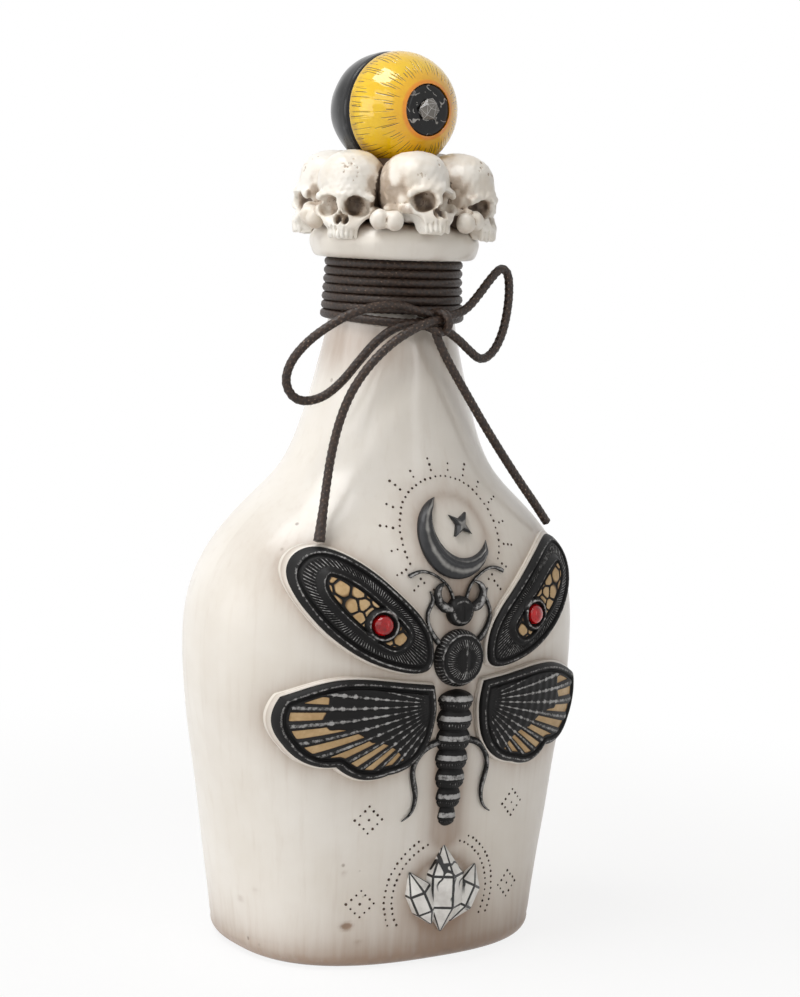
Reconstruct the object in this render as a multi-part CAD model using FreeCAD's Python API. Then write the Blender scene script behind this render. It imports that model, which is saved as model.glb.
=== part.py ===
"""A stoppered poison bottle in cast resin, millimetres, +Z up, front towards -Y.

The bottle stands on the origin. Its stopper carries a ring of skulls and an eyeball,
its neck is wound with waxed cord tied in a bow, and its front holds glued-on reliefs.
"""
import FreeCAD
import Part
import functools
import math
import os

Vector = FreeCAD.Vector
UP = Vector(0, 0, 1)
FRONT = Vector(0, -1, 0)
ACROSS = Vector(1, 0, 0)
ORIGIN = Vector(0, 0, 0)

# Bottle body: oval sections from the base up
BASE_HALF_WIDTH = 36.3
BASE_HALF_DEPTH = 28.0
FLANK_BULGE = 0.6
SHOULDER_HEIGHT = 70.0
SHOULDER_HALF_WIDTH = 47.3
SHOULDER_HALF_DEPTH = 31.3
NECK_ROOT_RADIUS = 16.2
NECK_SEAT_RADIUS = 14.2
NECK_TOP_HEIGHT = 154.1
NECK_TOP_RADIUS = 13.4
NECK_BAND = 13.6
NECK_FLARE = 9.5
SQUARENESS = 0.55
ROUND_HEIGHT = 115.0
HEEL_RADIUS = 3.6
WALL = 3.6
FLOOR_THICKNESS = 5.0
BORE_RADIUS = 10.2
MOUTH_CHAMFER = 0.8

# Slope from shoulder to neck: share of the rise, and shares of the width and depth still left
SHOULDER_SLOPE = (
    (0.20, 0.952, 0.98),
    (0.34, 0.807, 0.89),
    (0.46, 0.598, 0.70),
    (0.64, 0.251, 0.35),
    (0.82, 0.105, 0.16),
)
SECTION_POINTS = 24
SECTION_COUNT = 21

# Fits between pieces
GLUE_GAP = 0.2
CORK_CLEARANCE = 0.3
SEAT_GAP = 0.1

# Stopper: plug, collar and core
CORK_LENGTH = 18.0
CORK_SOCKET_DEPTH = 3.0
CORK_TAPER = 0.9
CORK_EDGE = 1.0
COLLAR_RADIUS = 19.1
COLLAR_THICKNESS = 7.9
COLLAR_FLAT_RADIUS = 13.5
COLLAR_FOOT_RADIUS = 16.8
COLLAR_WAIST_HEIGHT = 3.8
COLLAR_BEND = 0.3
CORE_RADIUS = 7.6
CORE_SPIGOT_RADIUS = 4.0
CORE_SPIGOT_DEPTH = 2.4

# Eyeball on the stopper
EYE_RADIUS = 13.0
EYE_ABOVE_COLLAR = 24.8
EYE_BACK_LENGTH = 4.8
EYE_GROOVE_WIDTH = 1.6
EYE_GROOVE_DEPTH = 0.9
EYE_DOWEL_RADIUS = 4.5
EYE_DOWEL_LENGTH = 4.0
PUPIL_RADIUS = 5.7
PUPIL_SUNK = 2.6
PUPIL_DISC_THICKNESS = 1.2
GEM_RADIUS = 2.7
GEM_TABLE_RADIUS = 1.5
GEM_HEIGHT = 2.0
GEM_SIDES = 7

# Ring of skulls and the bones between them
SKULL_COUNT = 6
SKULL_RING_RADIUS = 13.8
SKULL_ABOVE_COLLAR = 7.6
SKULL_GAP = 0.3
SKULL_RING_TURN = -17.0
SKULL_TURNS = (21.0, -8.0, 5.0, -6.0, 10.0, 30.0)
SKULL_NODS = (12.0, 2.0, 5.0, 0.0, 4.0, 0.0)
CRANIUM_RADIUS = 8.2
BROW_RADIUS = 1.7
BROW_HALF_WIDTH = 4.6
BROW_FORWARD = 6.0
BROW_DROP = 1.4
FACE_TOP_RADIUS = 5.6
JAW_RADIUS = 3.9
FACE_FORWARD = 4.8
JAW_DROP = 10.6
TEETH_HEIGHT = 2.0
TEETH_COUNT = 6
TOOTH_SLOT = 0.4
TOOTH_SLOT_DEPTH = 0.7
TEETH_ARC = 150.0
CHEEK_RADIUS = 2.0
CHEEK_HALF_WIDTH = 5.7
CHEEK_FORWARD = 5.0
CHEEK_DROP = 5.0
ARCH_RADIUS = 1.1
ARCH_BACK = 1.0
SOCKET_RADIUS = 2.5
SOCKET_HALF_WIDTH = 3.2
SOCKET_DROP = 3.7
SOCKET_FLOOR = 5.6
NOSE_HALF_WIDTH = 1.35
NOSE_TOP_DROP = 5.0
NOSE_FOOT_DROP = 7.9
NOSE_FLOOR = 7.2
BONE_KNUCKLE_RADIUS = 2.3
BONE_KNUCKLE_SPREAD = 1.8
BONE_SHAFT_RADIUS = 1.6
BONE_REACH = 20.0
BONE_INNER_REACH = 10.0
BONE_ABOVE_COLLAR = 0.8
BONE_TURN = 9.0

# Cord on the neck, and its bow
CORD_DIAMETER = 1.9
WINDING_DIAMETER = 1.4
WINDING_TURNS = 7
WINDING_TOP_GAP = 0.3
WINDING_GAP = 0.3
QUARTERS = 4
KNOT_HALF_WIDTH = 4.2
KNOT_RADIUS = 2.7
KNOT_ACROSS = -1.0
KNOT_RISE = 0.7
ARC_SHARE = 0.45

# Routes of the bow: across, along, and height above the shoulder as drawn on a slope of this rise
DRAWN_RISE = 61.0
LOOP_LEFT = (
    (-2.0, -18.9, 72.5), (-6.4, -18.7, 73.7), (-10.6, -18.3, 74.8), (-15.6, -17.7, 74.5),
    (-20.6, -16.6, 73.0), (-25.4, -15.0, 70.2), (-29.6, -13.0, 66.6), (-32.8, -11.2, 62.0),
    (-33.6, -10.6, 57.2), (-30.9, -11.2, 53.5), (-26.0, -12.6, 53.9), (-21.8, -14.3, 57.4),
    (-18.2, -15.9, 62.6), (-14.8, -17.2, 67.0), (-11.0, -18.3, 69.9), (-6.8, -18.9, 70.9),
    (-2.4, -19.0, 70.1),
)
LOOP_RIGHT = (
    (0.6, -18.9, 72.3), (4.4, -18.4, 72.5), (8.2, -17.7, 73.9), (11.8, -16.9, 77.0),
    (15.2, -16.1, 80.4), (18.6, -15.4, 83.2), (21.0, -14.9, 81.8), (21.5, -14.9, 77.6),
    (20.8, -15.3, 72.8), (19.3, -15.9, 68.2), (16.6, -16.6, 64.2), (12.8, -17.3, 62.4),
    (8.9, -18.0, 64.9), (5.2, -18.5, 67.7), (0.9, -18.9, 70.0),
)
TAIL_LEFT = (
    (-0.4, -20.3, 71.6), (-4.2, -21.6, 71.4), (-8.6, -22.0, 69.8), (-13.7, -21.6, 66.8),
    (-18.6, -20.8, 62.2), (-22.4, -19.6, 56.2), (-24.6, -18.8, 49.8), (-26.1, -18.5, 43.0),
    (-27.3, -18.9, 36.4), (-28.7, -20.0, 30.2), (-30.2, -21.4, 24.6),
)
TAIL_RIGHT = (
    (-1.6, -19.6, 69.8), (-0.6, -20.5, 66.4), (2.5, -20.7, 61.4), (7.2, -20.5, 55.2),
    (12.3, -20.3, 48.4), (17.8, -20.3, 41.4), (23.0, -20.4, 35.0), (27.4, -20.4, 30.0),
    (31.0, -19.8, 26.0),
)

# Beetle relief on the front
PLATE_THICKNESS = 2.2
PLATE_CROWN = 0.9
RELIEF_GAP = 0.6
HEAD_RADIUS = 3.3
MANDIBLE_RADIUS = 3.4
MANDIBLE_THICKNESS = 1.5
MANDIBLE_SPREAD = 3.0
MANDIBLE_RISE = 3.4
THORAX_HALF_WIDTH = 6.2
THORAX_HALF_LENGTH = 6.4
ABDOMEN_RADIUS = 4.4
ABDOMEN_SEGMENT_LENGTH = 4.4
ABDOMEN_WAIST = 0.75
ABDOMEN_BULGE_PLACE = 0.55
WING_CASE = ((7.4, 72.6), (14.5, 83.0), (24.0, 91.0), (31.5, 93.2), (36.4, 88.6), (34.4, 80.4),
             (26.0, 71.8), (15.0, 67.0), (8.0, 67.4))
WING_CASE_CROWN = ((12.0, 74.0), (18.0, 82.5), (25.5, 88.6), (31.0, 89.8), (33.0, 86.4),
                   (30.6, 80.4), (23.6, 73.6), (15.6, 70.4))
HIND_WING_ROOT = ((6.6, 52.5), (5.8, 58.0), (6.6, 63.6))
HIND_WING_EDGE = ((6.6, 63.6), (16.0, 64.8), (29.0, 65.2), (38.5, 61.5))
HIND_WING_RIM = ((38.5, 61.5), (37.5, 51.0), (27.5, 46.4), (16.5, 44.2), (6.6, 52.5))
HIND_WING_SCALLOP = 0.16
STONE_RADIUS = 2.3
STONE_ACROSS = 20.0
STONE_HEIGHT = 77.5
STONE_PROUD = 4.6

# Crescent, star and crystals
MEDALLION_HEIGHT = 95.0
MEDALLION_GAP = 0.1
CRESCENT_RADIUS = 8.8
CRESCENT_INNER_RADIUS = 7.3
CRESCENT_OFFSET = 3.7
CRESCENT_TILT = 50.0
CRESCENT_THICKNESS = 2.0
STAR_OFFSET = 3.4
STAR_RADIUS = 3.2
STAR_INNER_RADIUS = 1.2
STAR_POINTS = 4
STAR_THICKNESS = 1.4
CRYSTAL_FOOT_HEIGHT = 7.0
CRYSTAL_LENGTH = 20.0
CRYSTAL_GAP = 4.0
CRYSTAL_RADIUS = 4.6
CRYSTAL_POINT = 6.5
CRYSTAL_SIDE_LEAN = 27.0
CRYSTAL_SIDE_SCALE = 0.7
CRYSTAL_SIDE_SPREAD = 2.4
CRYSTAL_SIDE_RISE = 2.0
CRYSTAL_SIDES = 6

# Heights that follow from the above
NECK_SEAT_HEIGHT = NECK_TOP_HEIGHT - NECK_BAND
NECK_ROOT_HEIGHT = NECK_SEAT_HEIGHT - NECK_FLARE
KNOT_HEIGHT = NECK_SEAT_HEIGHT + KNOT_RISE
HEAD_HEIGHT = MEDALLION_HEIGHT - CRESCENT_RADIUS - MEDALLION_GAP - MANDIBLE_RISE - MANDIBLE_RADIUS
THORAX_HEIGHT = HEAD_HEIGHT - HEAD_RADIUS - RELIEF_GAP - THORAX_HALF_LENGTH
ABDOMEN_TOP = THORAX_HEIGHT - THORAX_HALF_LENGTH - RELIEF_GAP
ABDOMEN_TIP = CRYSTAL_FOOT_HEIGHT + CRYSTAL_LENGTH + CRYSTAL_GAP
ABDOMEN_LENGTH = ABDOMEN_TOP - ABDOMEN_TIP
ABDOMEN_SEGMENTS = max(1, round(ABDOMEN_LENGTH / ABDOMEN_SEGMENT_LENGTH))
COLLAR_TOP = NECK_TOP_HEIGHT + SEAT_GAP + COLLAR_THICKNESS
EYE_HEIGHT = COLLAR_TOP + EYE_ABOVE_COLLAR
SKULL_HEIGHT = COLLAR_TOP + SKULL_ABOVE_COLLAR
BONE_HEIGHT = COLLAR_TOP + BONE_ABOVE_COLLAR
CORK_TOP_RADIUS = BORE_RADIUS - CORK_CLEARANCE
FAR = 4 * SHOULDER_HALF_WIDTH


def oval(height, half_width, half_depth):
    """One level section of the bottle: a superellipse that grows rounder towards the neck."""
    power = 2 + SQUARENESS * max(0.0, 1 - height / ROUND_HEIGHT)
    points = []
    for step in range(SECTION_POINTS):
        angle = 2 * math.pi * step / SECTION_POINTS
        across = abs(math.cos(angle) / half_width) ** power
        along = abs(math.sin(angle) / half_depth) ** power
        reach = (across + along) ** (-1 / power)
        points.append(Vector(reach * math.cos(angle), reach * math.sin(angle), height))
    curve = Part.BSplineCurve()
    even_steps = list(range(SECTION_POINTS + 1))
    curve.interpolate(Points=points, PeriodicFlag=True, Parameters=even_steps)
    return Part.Wire(curve.toShape())


def body_profile():
    """Half width, half depth and height along the bottle's side, in even steps from base to rim."""
    flank_width = (BASE_HALF_WIDTH + SHOULDER_HALF_WIDTH) / 2 + FLANK_BULGE
    flank_depth = (BASE_HALF_DEPTH + SHOULDER_HALF_DEPTH) / 2
    stations = [
        Vector(BASE_HALF_WIDTH, BASE_HALF_DEPTH, 0),
        Vector(flank_width, flank_depth, SHOULDER_HEIGHT / 2),
        Vector(SHOULDER_HALF_WIDTH, SHOULDER_HALF_DEPTH, SHOULDER_HEIGHT),
    ]
    rise = NECK_ROOT_HEIGHT - SHOULDER_HEIGHT
    for along, width_left, depth_left in SHOULDER_SLOPE:
        half_width = NECK_ROOT_RADIUS + width_left * (SHOULDER_HALF_WIDTH - NECK_ROOT_RADIUS)
        half_depth = NECK_ROOT_RADIUS + depth_left * (SHOULDER_HALF_DEPTH - NECK_ROOT_RADIUS)
        stations.append(Vector(half_width, half_depth, SHOULDER_HEIGHT + along * rise))
    stations.append(Vector(NECK_ROOT_RADIUS, NECK_ROOT_RADIUS, NECK_ROOT_HEIGHT))
    stations.append(Vector(NECK_SEAT_RADIUS, NECK_SEAT_RADIUS, NECK_SEAT_HEIGHT))
    stations.append(Vector(NECK_TOP_RADIUS, NECK_TOP_RADIUS, NECK_TOP_HEIGHT))
    curve = Part.BSplineCurve()
    curve.interpolate(stations)
    return curve.discretize(Number=SECTION_COUNT)


@functools.lru_cache(maxsize=None)
def body_form(grow):
    """The outside of the whole bottle, grown sideways by a given amount."""
    wires = [oval(point.z, point.x + grow, point.y + grow) for point in body_profile()]
    return Part.makeLoft(wires, True)


def bottle_body():
    """Hollow bottle: a lofted outside with a rounded heel, a lofted inside and a round bore."""
    outside = body_form(0.0)
    heel = [edge for edge in outside.Edges if edge.BoundBox.ZMax < HEEL_RADIUS / 2]
    outside = outside.makeFillet(HEEL_RADIUS, heel)
    room = Part.makeBox(2 * FAR, 2 * FAR, NECK_TOP_HEIGHT, Vector(-FAR, -FAR, FLOOR_THICKNESS))
    inside = body_form(-WALL).common(room)
    bore = Part.makeCylinder(BORE_RADIUS, NECK_TOP_HEIGHT, UP * NECK_SEAT_HEIGHT)
    mouth = Part.makeCone(BORE_RADIUS, BORE_RADIUS + 2 * MOUTH_CHAMFER, 2 * MOUTH_CHAMFER,
                          UP * (NECK_TOP_HEIGHT - MOUTH_CHAMFER))
    return outside.cut(inside).cut(bore).cut(mouth)


def cork_plug():
    """Tapered plug in the bore, its top glued into the collar's socket."""
    low = NECK_TOP_HEIGHT - CORK_LENGTH
    tapered = Part.makeCone(CORK_TOP_RADIUS - CORK_TAPER, CORK_TOP_RADIUS, CORK_LENGTH, UP * low)
    edge = [e for e in tapered.Edges if e.BoundBox.ZMax < low + CORK_EDGE]
    tapered = tapered.makeChamfer(CORK_EDGE, edge)
    head = Part.makeCylinder(CORK_TOP_RADIUS, SEAT_GAP + CORK_SOCKET_DEPTH, UP * NECK_TOP_HEIGHT)
    return tapered.fuse(head).removeSplitter()


def revolved(edges, axis_point=ORIGIN, axis=UP):
    """Solid of revolution from the edges of a closed half profile."""
    face = Part.Face(Part.Wire(edges))
    return face.revolve(axis_point, axis, 360)


def arc(start, through, end):
    return Part.Arc(start, through, end).toShape()


def soft_arc(start, through, end):
    """Arc kept as a spline, for round profiles whose centre lies across the axis of revolution."""
    return Part.Arc(start, through, end).toBSpline().toShape()


def line(start, end):
    return Part.LineSegment(start, end).toShape()


def collar_form(grow):
    """Pillow-edged disc: flat foot on the neck's rim, full waist, crowned top."""
    foot = NECK_TOP_HEIGHT + SEAT_GAP - grow
    waist = foot + grow + COLLAR_WAIST_HEIGHT
    top = COLLAR_TOP + grow
    foot_end = Vector(COLLAR_FOOT_RADIUS + grow, 0, foot)
    side = Vector(COLLAR_RADIUS + grow, 0, waist)
    crown = Vector(COLLAR_FLAT_RADIUS, 0, top)
    low_bend = Vector(side.x - COLLAR_BEND * (side.x - foot_end.x), 0, foot + COLLAR_BEND * (waist - foot))
    high_bend = Vector(side.x - COLLAR_BEND * (side.x - crown.x), 0, top - COLLAR_BEND * (top - waist))
    return revolved([
        line(Vector(0, 0, foot), foot_end),
        arc(foot_end, low_bend, side),
        arc(side, high_bend, crown),
        line(crown, Vector(0, 0, top)),
        line(Vector(0, 0, top), Vector(0, 0, foot)),
    ])


def stopper_collar():
    """Collar with a socket for the plug below and one for the core's spigot above."""
    foot = NECK_TOP_HEIGHT + SEAT_GAP
    socket = Part.makeCylinder(CORK_TOP_RADIUS + SEAT_GAP, CORK_SOCKET_DEPTH + SEAT_GAP, UP * foot)
    hole = Part.makeCylinder(CORE_SPIGOT_RADIUS + SEAT_GAP, CORE_SPIGOT_DEPTH + SEAT_GAP,
                             UP * (COLLAR_TOP - CORE_SPIGOT_DEPTH - SEAT_GAP))
    return collar_form(0.0).cut([socket, hole])


def eye_form(grow):
    """Outside of the eyeball: a round front and a back half that stands off behind it."""
    centre = UP * EYE_HEIGHT
    back = centre - FRONT * EYE_BACK_LENGTH
    radius = EYE_RADIUS + grow
    barrel = Part.makeCylinder(radius, EYE_BACK_LENGTH, centre, FRONT * -1)
    return Part.makeSphere(radius, centre).fuse([barrel, Part.makeSphere(radius, back)])


def core_form(grow):
    height = EYE_ABOVE_COLLAR - EYE_RADIUS / 2
    return Part.makeCylinder(CORE_RADIUS + grow, height, UP * COLLAR_TOP)


def stopper_core():
    """Post inside the skulls: spigot in the collar, and a cup that the eyeball is glued into."""
    foot = UP * (COLLAR_TOP - CORE_SPIGOT_DEPTH)
    spigot = Part.makeCylinder(CORE_SPIGOT_RADIUS, CORE_SPIGOT_DEPTH, foot)
    post = core_form(0.0).translated(UP * SEAT_GAP).cut(eye_form(GLUE_GAP))
    return post.fuse(spigot.translated(UP * SEAT_GAP)).removeSplitter()


def eye_front_dome():
    """Front half ball with a recess for the pupil and a dowel into the back half."""
    centre = UP * EYE_HEIGHT
    ball = Part.makeSphere(EYE_RADIUS, ORIGIN, UP, 0, 90, 360)
    ball.rotate(ORIGIN, ACROSS, 90)
    ball.translate(centre)
    dowel = Part.makeCylinder(EYE_DOWEL_RADIUS, EYE_DOWEL_LENGTH, centre, FRONT * -1)
    floor = centre + FRONT * (EYE_RADIUS - PUPIL_SUNK)
    recess = Part.makeCylinder(PUPIL_RADIUS, EYE_RADIUS, floor, FRONT)
    return ball.fuse(dowel).cut(recess).removeSplitter()


def eye_back_cup():
    """Back half with a groove behind its front lip, and a hole for the dowel."""
    seam = GLUE_GAP
    lip_end = seam + EYE_GROOVE_WIDTH
    groove_end = lip_end + EYE_GROOVE_WIDTH
    groove_floor = EYE_RADIUS - EYE_GROOVE_DEPTH
    slant = EYE_RADIUS * math.sqrt(0.5)
    axis_start = Vector(0, seam, EYE_HEIGHT)
    lip_start = Vector(0, seam, EYE_HEIGHT + EYE_RADIUS)
    lip_stop = Vector(0, lip_end, EYE_HEIGHT + EYE_RADIUS)
    groove_bend = Vector(0, (lip_end + groove_end) / 2, EYE_HEIGHT + groove_floor)
    groove_stop = Vector(0, groove_end, EYE_HEIGHT + EYE_RADIUS)
    barrel_stop = Vector(0, EYE_BACK_LENGTH, EYE_HEIGHT + EYE_RADIUS)
    ball_bend = Vector(0, EYE_BACK_LENGTH + slant, EYE_HEIGHT + slant)
    ball_stop = Vector(0, EYE_BACK_LENGTH + EYE_RADIUS, EYE_HEIGHT)
    cup = revolved([
        line(axis_start, lip_start),
        line(lip_start, lip_stop),
        arc(lip_stop, groove_bend, groove_stop),
        line(groove_stop, barrel_stop),
        arc(barrel_stop, ball_bend, ball_stop),
        line(ball_stop, axis_start),
    ], UP * EYE_HEIGHT, FRONT)
    hole = Part.makeCylinder(EYE_DOWEL_RADIUS + SEAT_GAP, EYE_DOWEL_LENGTH + SEAT_GAP,
                             UP * EYE_HEIGHT, FRONT * -1)
    return cup.cut(hole)


def pupil_disc():
    floor = UP * EYE_HEIGHT + FRONT * (EYE_RADIUS - PUPIL_SUNK + SEAT_GAP)
    return Part.makeCylinder(PUPIL_RADIUS - SEAT_GAP, PUPIL_DISC_THICKNESS, floor, FRONT)


def rings_solid(rings):
    """Solid with flat facets through rings of points; a ring of one point is a tip."""
    faces = []
    for low, high in zip(rings, rings[1:]):
        count = max(len(low), len(high))
        for side in range(count):
            after = (side + 1) % count
            corners = []
            for ring, order in ((low, (side, after)), (high, (after, side))):
                corners += [ring[0]] if len(ring) == 1 else [ring[i] for i in order]
            faces.append(Part.Face(Part.makePolygon(corners + corners[:1])))
    for ring in (rings[0], rings[-1]):
        if len(ring) > 1:
            faces.append(Part.Face(Part.makePolygon(ring + ring[:1])))
    solid = Part.Solid(Part.Shell(faces))
    if solid.Volume < 0:
        solid.reverse()
    return solid


def ring_of_points(sides, radius, height):
    angles = [2 * math.pi * (side + 0.5) / sides for side in range(sides)]
    return [Vector(radius * math.cos(a), radius * math.sin(a), height) for a in angles]


def pupil_gem():
    """Clear stone with a flat table, glued on the pupil."""
    gem = rings_solid([
        ring_of_points(GEM_SIDES, GEM_RADIUS, 0),
        ring_of_points(GEM_SIDES, GEM_RADIUS, GEM_HEIGHT / 3),
        ring_of_points(GEM_SIDES, GEM_TABLE_RADIUS, GEM_HEIGHT),
    ])
    gem.rotate(ORIGIN, ACROSS, 90)
    lift = EYE_RADIUS - PUPIL_SUNK + 2 * SEAT_GAP + PUPIL_DISC_THICKNESS
    gem.translate(UP * EYE_HEIGHT + FRONT * lift)
    return gem


def rod(start, end, radius):
    """Round bar with ball ends."""
    run = end - start
    bar = Part.makeCylinder(radius, run.Length, start, run)
    return bar.fuse([Part.makeSphere(radius, start), Part.makeSphere(radius, end)])


def skull_form():
    """A skull without its lower jaw, facing the front, with its brain case at the origin."""
    case = Part.makeSphere(CRANIUM_RADIUS)
    brow_left = Vector(-BROW_HALF_WIDTH, -BROW_FORWARD, -BROW_DROP)
    brow_right = Vector(BROW_HALF_WIDTH, -BROW_FORWARD, -BROW_DROP)
    face_foot = Vector(0, -FACE_FORWARD, -JAW_DROP)
    face = Part.makeCone(JAW_RADIUS, FACE_TOP_RADIUS, JAW_DROP - BROW_DROP, face_foot)
    bones = [rod(brow_left, brow_right, BROW_RADIUS), face]
    for side in (-1, 1):
        cheek = Vector(side * CHEEK_HALF_WIDTH, -CHEEK_FORWARD, -CHEEK_DROP)
        temple = Vector(side * (CRANIUM_RADIUS - ARCH_RADIUS), ARCH_BACK, -CHEEK_DROP + ARCH_RADIUS)
        bones.append(Part.makeSphere(CHEEK_RADIUS, cheek))
        bones.append(rod(cheek, temple, ARCH_RADIUS))
    skull = case.fuse(bones)
    cuts = []
    for side in (-1, 1):
        floor = Vector(side * SOCKET_HALF_WIDTH, -SOCKET_FLOOR, -SOCKET_DROP)
        cuts.append(rod(floor, floor + FRONT * CRANIUM_RADIUS, SOCKET_RADIUS))
    nose_corners = [
        Vector(0, -NOSE_FLOOR, -NOSE_TOP_DROP),
        Vector(NOSE_HALF_WIDTH, -NOSE_FLOOR, -NOSE_FOOT_DROP),
        Vector(-NOSE_HALF_WIDTH, -NOSE_FLOOR, -NOSE_FOOT_DROP),
    ]
    nose = Part.Face(Part.makePolygon(nose_corners + nose_corners[:1]))
    cuts.append(nose.extrude(FRONT * CRANIUM_RADIUS))
    for slot in range(TEETH_COUNT + 1):
        turn = (slot / TEETH_COUNT - 0.5) * TEETH_ARC
        blade = Part.makeBox(TOOTH_SLOT, JAW_RADIUS, TEETH_HEIGHT,
                             Vector(-TOOTH_SLOT / 2, -JAW_RADIUS - TOOTH_SLOT_DEPTH, -JAW_DROP))
        blade.translate(FRONT * (JAW_RADIUS - 2 * TOOTH_SLOT_DEPTH))
        blade.rotate(ORIGIN, UP, turn)
        cuts.append(blade.translated(FRONT * FACE_FORWARD))
    return skull.cut(cuts)


def knuckle_form(grow):
    """Two-lobed end of a bone: two balls side by side, turned as one about the line through them."""
    centre = Vector(0, -BONE_REACH, BONE_HEIGHT)
    radius = BONE_KNUCKLE_RADIUS + grow
    valley = centre + FRONT * math.sqrt(radius ** 2 - BONE_KNUCKLE_SPREAD ** 2)
    crests = [centre + FRONT * radius + ACROSS * side * BONE_KNUCKLE_SPREAD for side in (-1, 1)]
    ends = [centre + ACROSS * side * (BONE_KNUCKLE_SPREAD + radius) for side in (-1, 1)]
    return revolved([
        arc(ends[0], crests[0], valley),
        arc(valley, crests[1], ends[1]),
        line(ends[1], ends[0]),
    ], centre, ACROSS)


def stopper_bone_forms(grow):
    """Knuckle ends of the bones that fill the gaps between the skulls."""
    inner = Vector(0, grow - BONE_INNER_REACH, BONE_HEIGHT)
    shaft = Part.makeCylinder(BONE_SHAFT_RADIUS + grow, BONE_REACH + inner.y, inner, FRONT)
    bone = shaft.fuse(knuckle_form(grow))
    forms = []
    for gap in range(SKULL_COUNT):
        form = bone.copy()
        form.rotate(ORIGIN, UP, SKULL_RING_TURN + BONE_TURN + (gap + 0.5) * 360 / SKULL_COUNT)
        forms.append(form)
    return forms


def largest(shape):
    return max(shape.Solids, key=lambda solid: solid.Volume)


def stopper_bones():
    seats = [collar_form(GLUE_GAP), core_form(GLUE_GAP)]
    return Part.makeCompound([largest(bone.cut(seats)) for bone in stopper_bone_forms(0.0)])


def skulls():
    """The ring of skulls, each trimmed to its own sixth and to what it is glued to."""
    share = math.radians(180 / SKULL_COUNT)
    apex = FRONT * SKULL_GAP
    corners = [apex]
    for side in (-1, 1):
        corners.append(apex + FRONT * FAR + ACROSS * side * FAR * math.tan(share))
    wedge = Part.Face(Part.makePolygon(corners + corners[:1])).extrude(UP * 2 * FAR)
    seats = [collar_form(GLUE_GAP), core_form(GLUE_GAP), eye_form(GLUE_GAP)]
    seats += stopper_bone_forms(GLUE_GAP)
    form = skull_form()
    ring = []
    for place, (turn, nod) in enumerate(zip(SKULL_TURNS, SKULL_NODS)):
        skull = form.copy()
        skull.rotate(ORIGIN, ACROSS, -nod)
        skull.rotate(ORIGIN, UP, turn)
        skull.translate(FRONT * SKULL_RING_RADIUS + UP * SKULL_HEIGHT)
        skull = skull.common(wedge)
        skull.rotate(ORIGIN, UP, SKULL_RING_TURN + place * 360 / SKULL_COUNT)
        ring.append(largest(skull.cut(seats)))
    return ring


def biarc(start, start_way, end, end_way):
    """Two tangent arcs from one point and direction to another."""
    chord = end - start
    ways = start_way + end_way
    spread = 2 * (1 - start_way.dot(end_way))
    reach = chord.dot(ways)
    length = (math.sqrt(reach * reach + spread * chord.dot(chord)) - reach) / spread
    joint = (start + start_way * length + end - end_way * length) * 0.5
    edges = []
    for from_point, way, to_point in ((start, start_way, joint), (end, end_way * -1, joint)):
        across = to_point - from_point
        bow = across - way * across.dot(way)
        radius = across.dot(across) / (2 * bow.Length)
        centre = from_point + bow * (radius / bow.Length)
        middle = (from_point + to_point) * 0.5 - centre
        through = centre + middle * (radius / middle.Length)
        if to_point is joint and from_point is end:
            edges.append(arc(to_point, through, from_point))
        else:
            edges.append(arc(from_point, through, to_point))
    return edges


def winding_point(turn):
    """Point of the winding's centre line, and its direction, after a number of turns."""
    low = NECK_SEAT_HEIGHT + WINDING_DIAMETER / 2
    high = NECK_TOP_HEIGHT - WINDING_TOP_GAP - WINDING_DIAMETER / 2
    pitch = (high - low) / WINDING_TURNS
    taper = (NECK_TOP_RADIUS - NECK_SEAT_RADIUS) / (NECK_TOP_HEIGHT - NECK_SEAT_HEIGHT)
    height = low + pitch * turn
    radius = NECK_SEAT_RADIUS + taper * (height - NECK_SEAT_HEIGHT)
    radius += WINDING_GAP + WINDING_DIAMETER / 2
    angle = 2 * math.pi * turn
    outward = Vector(math.sin(angle), math.cos(angle), 0)
    sideways = Vector(math.cos(angle), -math.sin(angle), 0)
    way = sideways * (2 * math.pi * radius) + outward * (taper * pitch) + UP * pitch
    return outward * radius + UP * height, way.normalize()


def cord_winding():
    """Cord wound up the neck in one unbroken helix, with short straight ends."""
    steps = WINDING_TURNS * QUARTERS
    start, start_way = winding_point(0)
    edges = [line(start - start_way * WINDING_DIAMETER, start)]
    for step in range(steps):
        point, way = winding_point(step / QUARTERS)
        after, after_way = winding_point((step + 1) / QUARTERS)
        edges += biarc(point, way, after, after_way)
    end, end_way = winding_point(WINDING_TURNS)
    edges.append(line(end, end + end_way * WINDING_DIAMETER))
    path = Part.Wire(edges)
    first = start - start_way * WINDING_DIAMETER
    section = Part.Wire(Part.Circle(first, start_way, WINDING_DIAMETER / 2).toShape())
    tube = path.makePipeShell([section], True, False)
    report_winding_gap()
    report_tube("cord_winding", tube, path, WINDING_DIAMETER)
    return tube


def report_winding_gap():
    """Print the least gap between neighbouring turns, measured on points of the centre line."""
    samples = 48
    line_points = [winding_point(i / samples)[0] for i in range(WINDING_TURNS * samples + 1)]
    least = min(
        point.distanceToPoint(other)
        for place, point in enumerate(line_points)
        for other in line_points[place + samples // 2:]
    )
    print("cord_winding least gap to itself", round(least - WINDING_DIAMETER, 3))


def report_tube(name, tube, path, diameter):
    expected = math.pi * diameter * diameter / 4 * path.Length
    print(name, "length", round(path.Length, 1), "volume", round(tube.Volume, 2),
          "section times length", round(expected, 2))


def drawn_point(x, y, rise):
    """Point of a route: it keeps its place on the slope, and its height above the neck's root."""
    slope = NECK_ROOT_HEIGHT - SHOULDER_HEIGHT
    on_slope = min(rise, DRAWN_RISE) * slope / DRAWN_RISE
    return Vector(x, y, SHOULDER_HEIGHT + on_slope + max(0.0, rise - DRAWN_RISE))


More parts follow.
